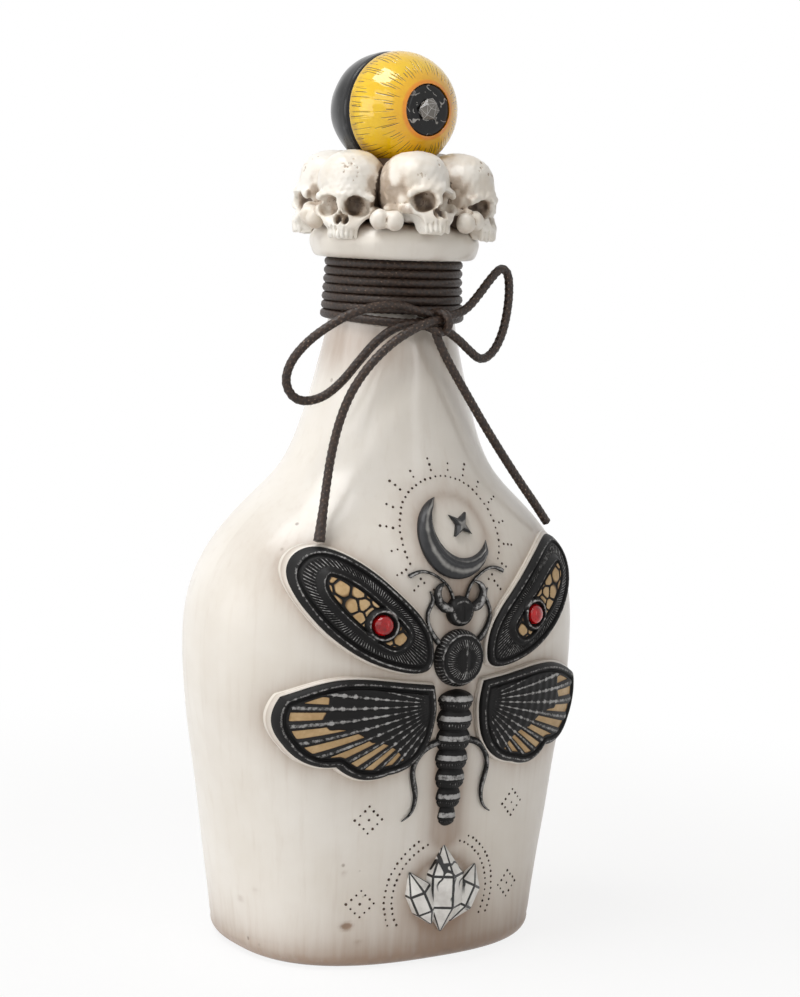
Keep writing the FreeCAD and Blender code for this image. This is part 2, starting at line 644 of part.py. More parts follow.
def cord_tube(name, route):
    """Tube along straight runs joined by tangent arcs as large as the runs allow."""
    points = [drawn_point(*point) for point in route]
    edges = []
    radii = []
    reached = points[0]
    for before, corner, after in zip(points, points[1:], points[2:]):
        way_in = (corner - before).normalize()
        way_out = (after - corner).normalize()
        turn = way_in.getAngle(way_out)
        trim = ARC_SHARE * min(before.distanceToPoint(corner), corner.distanceToPoint(after))
        radius = trim / math.tan(turn / 2)
        leave = corner - way_in * trim
        rejoin = corner + way_out * trim
        inward = (way_out - way_in).normalize()
        centre_distance = math.hypot(radius, trim)
        through = corner + inward * (centre_distance - radius)
        edges.append(line(reached, leave))
        edges.append(arc(leave, through, rejoin))
        reached = rejoin
        radii.append(round(radius, 1))
    edges.append(line(reached, points[-1]))
    path = Part.Wire(edges)
    start_way = points[1] - points[0]
    section = Part.Wire(Part.Circle(points[0], start_way, CORD_DIAMETER / 2).toShape())
    tube = path.makePipeShell([section], True, False)
    report_tube(name, tube, path, CORD_DIAMETER)
    print(name, "radii", radii)
    return tube


def bow_knot():
    """Knot of the bow: a plump bead lying across the front of the winding."""
    behind = NECK_SEAT_RADIUS + 2 * WINDING_GAP + WINDING_DIAMETER
    centre = Vector(KNOT_ACROSS, -behind - KNOT_RADIUS, KNOT_HEIGHT)
    reach = ACROSS * (KNOT_HALF_WIDTH - KNOT_RADIUS)
    return rod(centre - reach, centre + reach, KNOT_RADIUS)


def front_prism(face):
    """A face drawn in the XZ plane, drawn out past the bottle's front."""
    return face.extrude(FRONT * FAR)


def on_front(face, near, far):
    """Plate with a face's outline that follows the bottle between two heights off its skin."""
    return front_prism(face).common(body_form(far)).cut(body_form(near))


def leaf(corners):
    """Face with a smooth closed outline through points in the XZ plane."""
    curve = Part.BSplineCurve()
    curve.interpolate(Points=[Vector(x, 0, z) for x, z in corners], PeriodicFlag=True)
    return Part.Face(Part.Wire(curve.toShape()))


def disc(x, z, radius):
    return Part.Face(Part.Wire(Part.Circle(Vector(x, 0, z), FRONT, radius).toShape()))


def mirrored(shape):
    return shape.mirror(ORIGIN, ACROSS)


def front_depth(height):
    """How far the bottle's skin stands out at the middle of its front, at one height."""
    ray = Part.makeLine(Vector(0, 0, height), Vector(0, -FAR, height))
    return -ray.common(body_form(0.0)).BoundBox.YMin


def half_on_front(solid):
    """The part of a rounded relief that stands off the bottle's skin."""
    return largest(solid.cut(body_form(GLUE_GAP)))


def wing_case():
    """Raised wing case of the right-hand side, with a hole for its stone."""
    base = on_front(leaf(WING_CASE), GLUE_GAP, PLATE_THICKNESS)
    crown = on_front(leaf(WING_CASE_CROWN), PLATE_THICKNESS / 2, PLATE_THICKNESS + PLATE_CROWN)
    hole = front_prism(disc(STONE_ACROSS, STONE_HEIGHT, STONE_RADIUS + SEAT_GAP))
    return base.fuse(crown).cut(hole).removeSplitter()


def red_stone():
    """Round-topped stone that sits on the bottle inside the wing case's hole."""
    shank = on_front(disc(STONE_ACROSS, STONE_HEIGHT, STONE_RADIUS), GLUE_GAP, STONE_PROUD)
    place = Part.makeLine(Vector(STONE_ACROSS, 0, STONE_HEIGHT), Vector(STONE_ACROSS, -FAR, STONE_HEIGHT))
    skin = -place.common(body_form(0.0)).BoundBox.YMin
    dome = Part.makeSphere(STONE_PROUD, Vector(STONE_ACROSS, -skin, STONE_HEIGHT))
    return largest(shank.common(dome))


def hind_wing():
    """Fan-shaped hind wing of the right-hand side, with a scalloped rim."""
    root = Part.BSplineCurve()
    root.interpolate([Vector(x, 0, z) for x, z in HIND_WING_ROOT])
    edge = Part.BSplineCurve()
    edge.interpolate([Vector(x, 0, z) for x, z in HIND_WING_EDGE])
    edges = [root.toShape(), edge.toShape()]
    rim = [Vector(x, 0, z) for x, z in HIND_WING_RIM]
    for start, end in zip(rim, rim[1:]):
        across = end - start
        outward = Vector(-across.z, 0, across.x) * HIND_WING_SCALLOP
        edges.append(arc(start, (start + end) * 0.5 + outward, end))
    return on_front(Part.Face(Part.Wire(edges)), GLUE_GAP, PLATE_THICKNESS)


def beetle_head():
    """Round head with two curved mandibles."""
    face = disc(0, HEAD_HEIGHT, HEAD_RADIUS)
    for side in (-1, 1):
        x = side * MANDIBLE_SPREAD
        z = HEAD_HEIGHT + MANDIBLE_RISE
        outer = disc(x, z, MANDIBLE_RADIUS)
        inner = disc(x - side * MANDIBLE_THICKNESS, z + MANDIBLE_THICKNESS, MANDIBLE_RADIUS)
        face = face.fuse(outer.cut(inner))
    head = [on_front(piece, GLUE_GAP, PLATE_THICKNESS) for piece in face.Faces]
    return head[0].fuse(head[1:]).removeSplitter()


def beetle_thorax():
    """Domed shield behind the head."""
    skin = front_depth(THORAX_HEIGHT)
    centre = Vector(0, -skin, THORAX_HEIGHT)
    top = centre + UP * THORAX_HALF_LENGTH
    foot = centre - UP * THORAX_HALF_LENGTH
    crest = soft_arc(foot, centre + ACROSS * THORAX_HALF_WIDTH, top)
    dome = revolved([crest, line(top, foot)], centre, UP)
    return half_on_front(dome.common(body_form(PLATE_THICKNESS + 2 * PLATE_CROWN)))


def beetle_abdomen():
    """Tapering abdomen of rounded segments, half sunk in the plane of the bottle's skin."""
    out = front_depth(ABDOMEN_TOP) - front_depth(ABDOMEN_TIP)
    lean = math.degrees(math.atan2(out, ABDOMEN_LENGTH))
    step = ABDOMEN_LENGTH / ABDOMEN_SEGMENTS
    edges = []
    knot = Vector(0, 0, 0)
    for segment in range(ABDOMEN_SEGMENTS):
        share = (segment + 1) / ABDOMEN_SEGMENTS
        bulge = ABDOMEN_RADIUS * math.sqrt(1 - (1 - share) ** 2)
        waist = ABDOMEN_WAIST * bulge if segment < ABDOMEN_SEGMENTS - 1 else 0
        after = Vector(waist, 0, step * (segment + 1))
        edges.append(soft_arc(knot, Vector(bulge, 0, step * (segment + ABDOMEN_BULGE_PLACE)), after))
        knot = after
    edges.append(line(knot, ORIGIN))
    spindle = revolved(edges)
    spindle.rotate(ORIGIN, ACROSS, lean)
    spindle.translate(Vector(0, -front_depth(ABDOMEN_TIP), ABDOMEN_TIP))
    return half_on_front(spindle)


def crescent():
    """Crescent moon that opens upwards and to one side."""
    tilt = math.radians(CRESCENT_TILT)
    bite = disc(CRESCENT_OFFSET * math.cos(tilt), MEDALLION_HEIGHT + CRESCENT_OFFSET * math.sin(tilt),
                CRESCENT_INNER_RADIUS)
    face = disc(0, MEDALLION_HEIGHT, CRESCENT_RADIUS).cut(bite)
    return on_front(face, GLUE_GAP, CRESCENT_THICKNESS)


def star():
    """Small star in the mouth of the crescent."""
    tilt = math.radians(CRESCENT_TILT)
    corners = []
    for corner in range(2 * STAR_POINTS):
        angle = tilt + math.pi * corner / STAR_POINTS
        radius = STAR_INNER_RADIUS if corner % 2 else STAR_RADIUS
        x = STAR_OFFSET * math.cos(tilt) + radius * math.cos(angle)
        z = MEDALLION_HEIGHT + STAR_OFFSET * math.sin(tilt) + radius * math.sin(angle)
        corners.append(Vector(x, 0, z))
    face = Part.Face(Part.makePolygon(corners + corners[:1]))
    return on_front(face, GLUE_GAP, STAR_THICKNESS)


def crystal(scale):
    """Six-sided crystal with a point at each end, standing on the origin."""
    length = scale * CRYSTAL_LENGTH
    radius = scale * CRYSTAL_RADIUS
    point = scale * CRYSTAL_POINT
    return rings_solid([
        [ORIGIN],
        ring_of_points(CRYSTAL_SIDES, radius, point),
        ring_of_points(CRYSTAL_SIDES, radius, length - point),
        [UP * length],
    ])


def crystal_cluster():
    """Tall crystal with a smaller one leaning out on each side, set in the bottle's front."""
    skin = front_depth(CRYSTAL_FOOT_HEIGHT + CRYSTAL_LENGTH / 2)
    foot = Vector(0, -skin, CRYSTAL_FOOT_HEIGHT)
    group = crystal(1.0)
    for side in (-1, 1):
        shard = crystal(CRYSTAL_SIDE_SCALE)
        shard.rotate(ORIGIN, FRONT, -side * CRYSTAL_SIDE_LEAN)
        shard.translate(ACROSS * side * CRYSTAL_SIDE_SPREAD + UP * CRYSTAL_SIDE_RISE)
        group = group.fuse(shard)
    return half_on_front(group.translated(foot))


def stopper_pieces():
    """Pieces that lift off together."""
    pieces = {
        "cork_plug": cork_plug(),
        "stopper_collar": stopper_collar(),
        "stopper_core": stopper_core(),
        "stopper_bones": stopper_bones(),
        "eye_front_dome": eye_front_dome(),
        "eye_back_cup": eye_back_cup(),
        "pupil_disc": pupil_disc(),
        "pupil_gem": pupil_gem(),
    }
    for place, skull in enumerate(skulls()):
        pieces[f"skull_{place + 1}"] = skull
    return pieces


def cord_pieces():
    knot = bow_knot()
    pieces = {"cord_winding": cord_winding(), "bow_knot": knot}
    routes = {
        "bow_loop_left": LOOP_LEFT,
        "bow_loop_right": LOOP_RIGHT,
        "cord_tail_left": TAIL_LEFT,
        "cord_tail_right": TAIL_RIGHT,
    }
    for name, route in routes.items():
        pieces[name] = largest(cord_tube(name, route).cut(knot))
    return pieces


def relief_pieces():
    case = wing_case()
    hind = hind_wing()
    stone = red_stone()
    return {
        "beetle_head": beetle_head(),
        "beetle_thorax": beetle_thorax(),
        "beetle_abdomen": beetle_abdomen(),
        "wing_case_right": case,
        "wing_case_left": mirrored(case),
        "hind_wing_right": hind,
        "hind_wing_left": mirrored(hind),
        "red_stone_right": stone,
        "red_stone_left": mirrored(stone),
        "crescent": crescent(),
        "star": star(),
        "crystal_cluster": crystal_cluster(),
    }


pieces = {"bottle_body": bottle_body()}
pieces.update(stopper_pieces())
pieces.update(cord_pieces())
pieces.update(relief_pieces())

os.makedirs("parts", exist_ok=True)
for name, piece in pieces.items():
    solids = len(piece.Solids)
    print(name, "solids", solids, "valid", piece.isValid(), "volume", round(piece.Volume, 1))
    piece.exportStep(f"parts/{name}.step")
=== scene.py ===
# %% [markdown]
# # A stoppered poison bottle
# The real object is a small cast resin bottle. A ring of skulls and an eyeball form its stopper,
# waxed cord is wound round its neck, and painted reliefs are glued to its front.
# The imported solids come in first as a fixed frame, in metres, so every piece below can be made
# straight in its place. Sizes are written in millimetres, because that is how a maker thinks of them.

import math

import bmesh
import bpy
import numpy as np
from mathutils import Matrix, Vector


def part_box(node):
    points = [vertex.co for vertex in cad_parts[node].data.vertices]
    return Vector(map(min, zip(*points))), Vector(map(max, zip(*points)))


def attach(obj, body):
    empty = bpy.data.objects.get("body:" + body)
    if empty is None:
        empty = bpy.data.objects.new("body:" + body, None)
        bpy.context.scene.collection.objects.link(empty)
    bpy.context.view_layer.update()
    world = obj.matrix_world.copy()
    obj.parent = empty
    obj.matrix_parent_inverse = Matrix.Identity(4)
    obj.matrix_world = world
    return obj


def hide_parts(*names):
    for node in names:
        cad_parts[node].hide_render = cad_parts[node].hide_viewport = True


MM = 0.001


def placed(name, data):
    """A new object in the scene."""
    made = bpy.data.objects.new(name, data)
    bpy.context.scene.collection.objects.link(made)
    return made


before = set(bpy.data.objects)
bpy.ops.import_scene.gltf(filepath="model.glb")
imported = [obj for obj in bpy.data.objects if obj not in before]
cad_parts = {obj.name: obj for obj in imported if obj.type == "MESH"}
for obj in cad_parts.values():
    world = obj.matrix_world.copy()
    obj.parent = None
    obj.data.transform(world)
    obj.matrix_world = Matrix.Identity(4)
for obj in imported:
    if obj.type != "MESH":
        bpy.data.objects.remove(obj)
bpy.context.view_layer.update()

# %% [markdown]
# ## Camera
# The photograph was taken from a little above the shoulder, about 33 degrees round to the left.
# A long lens keeps the bottle's sides nearly parallel. The camera leans by two degrees, so its
# axes are worked out from the line of sight and then turned about it.

# %% Camera
IMAGE_HEIGHT = 997
SENSOR = 36.0
FOCAL_PIXELS = 2497.6
AXIS_LEFT_PIXELS = 15.2
CAMERA_PLACE = Vector((-305.9, -470.0, 169.5)) * MM
CAMERA_AIM = Vector((0, 0, 100)) * MM
CAMERA_LEAN = math.radians(2.1)

sight = (CAMERA_AIM - CAMERA_PLACE).normalized()
level = sight.cross(Vector((0, 0, 1))).normalized()
upright = level.cross(sight)
screen_right = level * math.cos(CAMERA_LEAN) + upright * math.sin(CAMERA_LEAN)
screen_up = upright * math.cos(CAMERA_LEAN) - level * math.sin(CAMERA_LEAN)
camera_data = bpy.data.cameras.new("camera")
camera_data.sensor_width = SENSOR
camera_data.lens = FOCAL_PIXELS * SENSOR / IMAGE_HEIGHT
camera_data.shift_x = AXIS_LEFT_PIXELS / IMAGE_HEIGHT
camera_data.clip_start = 0.01
camera = placed("camera", camera_data)
axes = Matrix((screen_right, screen_up, -sight)).transposed().to_4x4()
camera.matrix_world = Matrix.Translation(CAMERA_PLACE) @ axes
bpy.context.scene.camera = camera
bpy.context.scene.view_settings.view_transform = "Standard"
print("camera lens in mm:", round(camera_data.lens, 1))

# %% [markdown]
# ## Shader maths as expressions
# A finish is a node tree. Wiring Math nodes one by one hides what they work out, so a small class
# wraps a socket and lets `1 - mask * 0.5` add the nodes. Everything else is made by one method
# that takes a node's type, its settings and the values or links of its sockets.

# %% Sockets and finishes


class Value:
    """A number socket that can be added, subtracted and multiplied."""

    def __init__(self, finish, socket):
        self.finish = finish
        self.socket = socket

    def maths(self, operation, first, second):
        node = self.finish.node("ShaderNodeMath", {"operation": operation}, {0: first, 1: second})
        return Value(self.finish, node.outputs[0])

    def __add__(self, other):
        return self.maths("ADD", self, other)

    def __radd__(self, other):
        return self.maths("ADD", other, self)

    def __sub__(self, other):
        return self.maths("SUBTRACT", self, other)

    def __rsub__(self, other):
        return self.maths("SUBTRACT", other, self)

    def __mul__(self, other):
        return self.maths("MULTIPLY", self, other)

    def between(self, low, high):
        """Smooth step from 0 at low to 1 at high."""
        settings = {"interpolation_type": "SMOOTHSTEP"}
        sockets = {"Value": self, "From Min": low, "From Max": high}
        return Value(self.finish, self.finish.node("ShaderNodeMapRange", settings, sockets).outputs[0])


def pick(sockets, key):
    """A socket by its number or by its identifier."""
    if isinstance(key, int):
        return sockets[key]
    return next(socket for socket in sockets if socket.identifier == key)


def tint(red, green, blue):
    """A colour as a screen shows it, turned into the linear light that shaders use."""
    linear = []
    for part in (red, green, blue):
        share = part / 255
        linear.append(share / 12.92 if share <= 0.04045 else ((share + 0.055) / 1.055) ** 2.4)
    return (*linear, 1.0)


class Wiring:
    """What every node tree needs: a node in one call, and a socket joined or set."""

    def node(self, kind, settings, sockets):
        """One node: its settings first, then the values or links of its sockets."""
        node = self.tree.nodes.new(kind)
        for name, value in settings.items():
            setattr(node, name, value)
        for key, value in sockets.items():
            self.join(pick(node.inputs, key), value)
        return node

    def join(self, socket, value):
        if isinstance(value, Value):
            value = value.socket
        if isinstance(value, bpy.types.NodeSocket):
            self.tree.links.new(value, socket)
        else:
            socket.default_value = value


class Finish(Wiring):
    """A material with one Principled shader, and short ways to make its patterns."""

    def __init__(self, name, **constants):
        self.material = bpy.data.materials.new(name)
        self.material.use_nodes = True
        self.tree = self.material.node_tree
        self.tree.nodes.clear()
        self.shader = self.tree.nodes.new("ShaderNodeBsdfPrincipled")
        output = self.tree.nodes.new("ShaderNodeOutputMaterial")
        self.tree.links.new(self.shader.outputs[0], output.inputs["Surface"])
        for socket, value in constants.items():
            self.shader.inputs[socket.replace("_", " ").title().replace("Ior", "IOR")].default_value = value
        self.here = self.node("ShaderNodeTexCoord", {}, {}).outputs["Object"]

    def mask(self, name):
        node = self.node("ShaderNodeAttribute", {"attribute_name": name}, {})
        return Value(self, node.outputs["Fac"])

    def stretched(self, scale):
        node = self.node("ShaderNodeMapping", {}, {"Vector": self.here, "Scale": scale})
        return node.outputs[0]

    def noise(self, scale, detail=3.0, rough=0.55, where=None):
        sockets = {"Vector": where or self.here, "Scale": scale, "Detail": detail, "Roughness": rough}
        return Value(self, self.node("ShaderNodeTexNoise", {}, sockets).outputs["Fac"])

    def cells(self, scale):
        sockets = {"Vector": self.here, "Scale": scale}
        return Value(self, self.node("ShaderNodeTexVoronoi", {}, sockets).outputs["Distance"])

    def mix(self, share, first, second):
        """Colour that goes from first to second as share goes from 0 to 1."""
        sockets = {"Factor_Float": share, "A_Color": first, "B_Color": second}
        node = self.node("ShaderNodeMix", {"data_type": "RGBA"}, sockets)
        return pick(node.outputs, "Result_Color")

    def bump(self, height, depth_mm, strength=1.0):
        sockets = {"Height": height, "Distance": depth_mm * MM, "Strength": strength}
        self.join(self.shader.inputs["Normal"], self.node("ShaderNodeBump", {}, sockets).outputs[0])

    def paint(self, socket, value):
        self.join(self.shader.inputs[socket], value)


print("shader helpers ready")

# %% [markdown]
# ## Floor and studio light
# The photograph has a white ground and large soft boxes: one above, one on the left, a narrow one
# at the right and a weak one in front. The floor is pale and keeps a faint shadow near the object.
# Rays that come straight from the camera, or by way of gloss or glass, see the rest of it and the
# world as white. Lamps are placed by their direction on the screen, in metres.

# %% Floor, world and lamps
WHITE = (1.0, 1.0, 1.0, 1.0)
WORLD_LIGHT = 0.23
WARM_SHADE = (1.0, 0.92, 0.83, 1.0)
FLOOR_COLOUR = (0.95, 0.95, 0.95, 1.0)
FLOOR_HALF = 6.0
FLOOR_SHADOW = 0.14
SHADOW_NEAR = 0.10
SHADOW_FAR = 0.27
LAMPS = (
    ("box_above", (-0.36, 0.85, 0.34), (0.62, 0.48), 6.8, 160),
    ("box_left", (-1.00, 0.06, 0.42), (0.60, 0.70), 2.75, 90),
    ("box_right", (0.90, 0.25, 1.00), (0.20, 0.90), 1.3, 130),
    ("box_front", (-0.62, 0.40, 1.00), (0.80, 0.60), 1.8, 100),
)


class Stage(Wiring):
    """Node tree of the floor or the world, which turns white for rays that look at it."""

    def __init__(self, owner):
        owner.use_nodes = True
        self.tree = owner.node_tree
        self.tree.nodes.clear()

    def looked_at(self):
        path = self.node("ShaderNodeLightPath", {}, {})
        seen = Value(self, path.outputs["Is Camera Ray"])
        for name in ("Is Glossy Ray", "Is Transmission Ray"):
            seen = seen.maths("MAXIMUM", seen, Value(self, path.outputs[name]))
        return seen

    def show(self, output, share, plain, white):
        """Wire two shaders, mixed by the share of white, to the tree's output."""
        mixer = self.node("ShaderNodeMixShader", {}, {0: share, 1: plain.outputs[0], 2: white.outputs[0]})
        self.node(output, {}, {"Surface": mixer.outputs[0]})


world = bpy.data.worlds.new("studio")
bpy.context.scene.world = world
sky = Stage(world)
soft_light = sky.node("ShaderNodeBackground", {}, {"Color": WARM_SHADE, "Strength": WORLD_LIGHT})
white_ground = sky.node("ShaderNodeBackground", {}, {"Color": WHITE, "Strength": 1.0})
sky.show("ShaderNodeOutputWorld", sky.looked_at(), soft_light, white_ground)

floor_paint = bpy.data.materials.new("pale_floor")
ground = Stage(floor_paint)
matt = ground.node("ShaderNodeBsdfDiffuse", {}, {"Color": FLOOR_COLOUR})
glow = ground.node("ShaderNodeEmission", {}, {"Color": WHITE, "Strength": 1.0})
here = ground.node("ShaderNodeTexCoord", {}, {}).outputs["Object"]
away = ground.node("ShaderNodeVectorMath", {"operation": "LENGTH"}, {0: here}).outputs["Value"]
shadow = Value(ground, away).between(SHADOW_FAR, SHADOW_NEAR) * FLOOR_SHADOW
ground.show("ShaderNodeOutputMaterial", (1 - shadow) * ground.looked_at(), matt, glow)

floor_mesh = bpy.data.meshes.new("floor")
floor_corners = [(-1, -1), (1, -1), (1, 1), (-1, 1)]
floor_mesh.from_pydata([(x * FLOOR_HALF, y * FLOOR_HALF, 0) for x, y in floor_corners], [], [(0, 1, 2, 3)])
floor_mesh.materials.append(floor_paint)
floor = placed("floor", floor_mesh)


def soft_box(name, place, size, watts, aim_mm):
    """Area lamp from its place to the right, up and towards the camera, and the height of its aim."""
    data = bpy.data.lights.new(name, "AREA")
    data.shape = "RECTANGLE"
    data.size, data.size_y = size
    data.energy = watts
    lamp = placed(name, data)
    right, up, towards = place
    way = screen_right * right + screen_up * up - sight * towards
    lamp.location = Vector((0, 0, aim_mm)) * MM + way
    lamp.rotation_euler = (-way).to_track_quat("-Z", "Y").to_euler()


for lamp_row in LAMPS:
    soft_box(*lamp_row)

# %% [markdown]
# ## The bottle's own form
# The body is a stack of ovals: a rounded rectangle at the foot that turns to a circle at the neck.
# The same stations that shaped the solid give a smooth profile here, as a natural spline. With the
# profile as a function, any point of the front can be asked for its depth, which is what every
# relief, dot and shadow below is laid on.

# %% Profile and skin
SHOULDER_HEIGHT = 70.0
NECK_ROOT_HEIGHT = 131.0
NECK_SEAT_HEIGHT = 140.5
NECK_TOP_HEIGHT = 154.1
BASE_HALF = (36.3, 28.0)
SHOULDER_HALF = (47.3, 31.3)
FLANK_BULGE = 0.6
NECK_ROOT_RADIUS = 16.2
NECK_SEAT_RADIUS = 14.2
NECK_TOP_RADIUS = 13.4
SQUARENESS = 0.55
ROUND_HEIGHT = 115.0
SHOULDER_SLOPE = (
    (0.20, 0.952, 0.98),
    (0.34, 0.807, 0.89),
    (0.46, 0.598, 0.70),
    (0.64, 0.251, 0.35),
    (0.82, 0.105, 0.16),
)


def natural_spline(points, count, closed=False):
    """Smooth curve through points, in even steps of the distance along them."""
    points = np.array(points, float)
    if closed:
        points = np.vstack([points[-3:], points, points[:4]])
    gaps = np.linalg.norm(np.diff(points, axis=0), axis=1)
    place = np.concatenate([[0], np.cumsum(gaps)])
    total = len(points)
    system = np.eye(total)
    bend = np.zeros(points.shape)
    for i in range(1, total - 1):
        system[i, i - 1:i + 2] = gaps[i - 1], 2 * (gaps[i - 1] + gaps[i]), gaps[i]
        rise = (points[i + 1] - points[i]) / gaps[i] - (points[i] - points[i - 1]) / gaps[i - 1]
        bend[i] = 6 * rise
    curve = np.linalg.solve(system, bend)
    first, last = (place[3], place[-4]) if closed else (place[0], place[-1])
    at = np.linspace(first, last, count, endpoint=not closed)
    span = np.clip(np.searchsorted(place, at, side="right") - 1, 0, total - 2)
    width = gaps[span][:, None]
    before = (place[span + 1] - at)[:, None]
    after = (at - place[span])[:, None]
    low, high = points[span], points[span + 1]
    cubic = (curve[span] * before ** 3 + curve[span + 1] * after ** 3) / (6 * width)
    straight_low = (low / width - curve[span] * width / 6) * before
    straight_high = (high / width - curve[span + 1] * width / 6) * after
    return cubic + straight_low + straight_high


flank = [(low + high) / 2 for low, high in zip(BASE_HALF, SHOULDER_HALF)]
stations = [(*BASE_HALF, 0), (flank[0] + FLANK_BULGE, flank[1], SHOULDER_HEIGHT / 2)]
stations.append((*SHOULDER_HALF, SHOULDER_HEIGHT))
for along, width_left, depth_left in SHOULDER_SLOPE:
    stations.append((
        NECK_ROOT_RADIUS + width_left * (SHOULDER_HALF[0] - NECK_ROOT_RADIUS),
        NECK_ROOT_RADIUS + depth_left * (SHOULDER_HALF[1] - NECK_ROOT_RADIUS),
        SHOULDER_HEIGHT + along * (NECK_ROOT_HEIGHT - SHOULDER_HEIGHT),
    ))
stations.append((NECK_ROOT_RADIUS, NECK_ROOT_RADIUS, NECK_ROOT_HEIGHT))
stations.append((NECK_SEAT_RADIUS, NECK_SEAT_RADIUS, NECK_SEAT_HEIGHT))
stations.append((NECK_TOP_RADIUS, NECK_TOP_RADIUS, NECK_TOP_HEIGHT))
PROFILE = natural_spline(stations, 500)


def half_sizes(height):
    """Half width, half depth and roundness power of the bottle at a height."""
    half_width = np.interp(height, PROFILE[:, 2], PROFILE[:, 0])
    half_depth = np.interp(height, PROFILE[:, 2], PROFILE[:, 1])
    power = 2 + SQUARENESS * np.clip(1 - np.asarray(height) / ROUND_HEIGHT, 0, None)
    return half_width, half_depth, power


def on_skin(x, z, lift):
    """Points on the bottle's front, lifted off its skin, from their places across and up."""
    x, z, lift = np.broadcast_arrays(x, z, lift)
    half_width, half_depth, power = half_sizes(z)
    left = np.clip(1 - np.abs(x / (half_width + lift)) ** power, 0, None)
    return np.stack([x, -(half_depth + lift) * left ** (1 / power), z], -1)


body_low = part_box("bottle_body")[0]
shoulder_front = on_skin(0.0, SHOULDER_HEIGHT, 0.0)[1]
print("front at the shoulder:", shoulder_front.round(2), "CAD:", round(body_low.y / MM, 2))

# %% [markdown]
# ## Meshes from arrays
# Most pieces here are grids of points bent into a form, so a few helpers turn arrays into closed
# meshes. Numbers that a finish needs later, such as how deep in a crevice a point lies, are kept
# on the points as attributes.

# %% Mesh helpers


def noise_at(points, size, seed, waves=9):
    """Smooth seeded unevenness, about -1 to 1, as a sum of plane waves."""
    rng = np.random.default_rng(seed)
    ways = rng.normal(size=(waves, 3))
    ways *= (2 * math.pi / size) * rng.uniform(0.6, 1.5, (waves, 1)) / np.linalg.norm(ways, axis=1)[:, None]
    phases = rng.uniform(0, 2 * math.pi, waves)
    total = np.zeros(points.shape[:-1])
    for way, phase in zip(ways, phases):
        total += np.sin(points @ way + phase)
    return total / math.sqrt(waves)


def step(value, low, high):
    """Smooth step from 0 at low to 1 at high."""
    share = np.clip((value - low) / (high - low), 0, 1)
    return share * share * (3 - 2 * share)


def bell(value, centre, width):
    """A smooth bump of height 1 about a centre."""
    return np.exp(-((value - centre) / width) ** 2)


def round_angles(count):
    return np.linspace(0, 2 * math.pi, count, endpoint=False)


def arc_points(centre, radius, angle):
    """Points round a centre. The radius is one number, or one across and one up."""
    across, up_way = np.broadcast_to(radius, 2)
    return np.stack([centre[0] + across * np.cos(angle), centre[1] + up_way * np.sin(angle)], -1)


def cos_sin(degrees):
    return math.cos(math.radians(degrees)), math.sin(math.radians(degrees))


def grid_faces(rows, columns):
    """Quads of a grid of points whose sides are joined."""
    index = np.arange(rows * columns).reshape(rows, columns)
    beside = np.roll(index, -1, axis=1)
    return np.stack([index[:-1], beside[:-1], beside[1:], index[1:]], -1).reshape(-1, 4)


def piece(name, points, faces, finish, masks=None):
    """A mesh object from points in millimetres, with masks kept on its points."""
    mesh = bpy.data.meshes.new(name)
    mesh.from_pydata((np.asarray(points, float) * MM).tolist(), [], [list(map(int, f)) for f in faces])
    mesh.polygons.foreach_set("use_smooth", [True] * len(mesh.polygons))
    for key, values in (masks or {}).items():
        layer = mesh.attributes.new(key, "FLOAT", "POINT")
        layer.data.foreach_set("value", np.asarray(values, np.float32).ravel())
    mesh.materials.append(finish.material)
    mesh.validate()
    return placed(name, mesh)


def grid_piece(name, grid, finish, masks=None):
    """A piece from a grid of points whose sides are joined."""
    return piece(name, grid.reshape(-1, 3), grid_faces(*grid.shape[:2]), finish, masks)


def outward(made, capped=False):
    """Merge doubles and turn every face outwards, once open rims are closed where that is asked."""
    work = bmesh.new()
    work.from_mesh(made.data)
    if capped:
        bmesh.ops.holes_fill(work, edges=[edge for edge in work.edges if edge.is_boundary])
    bmesh.ops.remove_doubles(work, verts=work.verts, dist=1e-7)
    bmesh.ops.recalc_face_normals(work, faces=work.faces)
    work.to_mesh(made.data)
    work.free()
    return made


def wears(made, body, slot, *nodes):
    """Tie a piece to its body and hide the solids that it stands for. The slot is not used."""
    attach(made, body)
    if nodes:
        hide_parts(*nodes)
    print(made.name, "triangles:", sum(len(p.vertices) - 2 for p in made.data.polygons))
    return made

# %% [markdown]
# ## Recipes: Geometry Nodes from Python
# What repeats, or follows a path, is left to Geometry Nodes. A recipe is a tree with named inputs.
# Running it on an object sets those inputs by their identifiers, takes the evaluated result as a
# plain mesh and removes the object that carried the modifier.

# %% Recipes


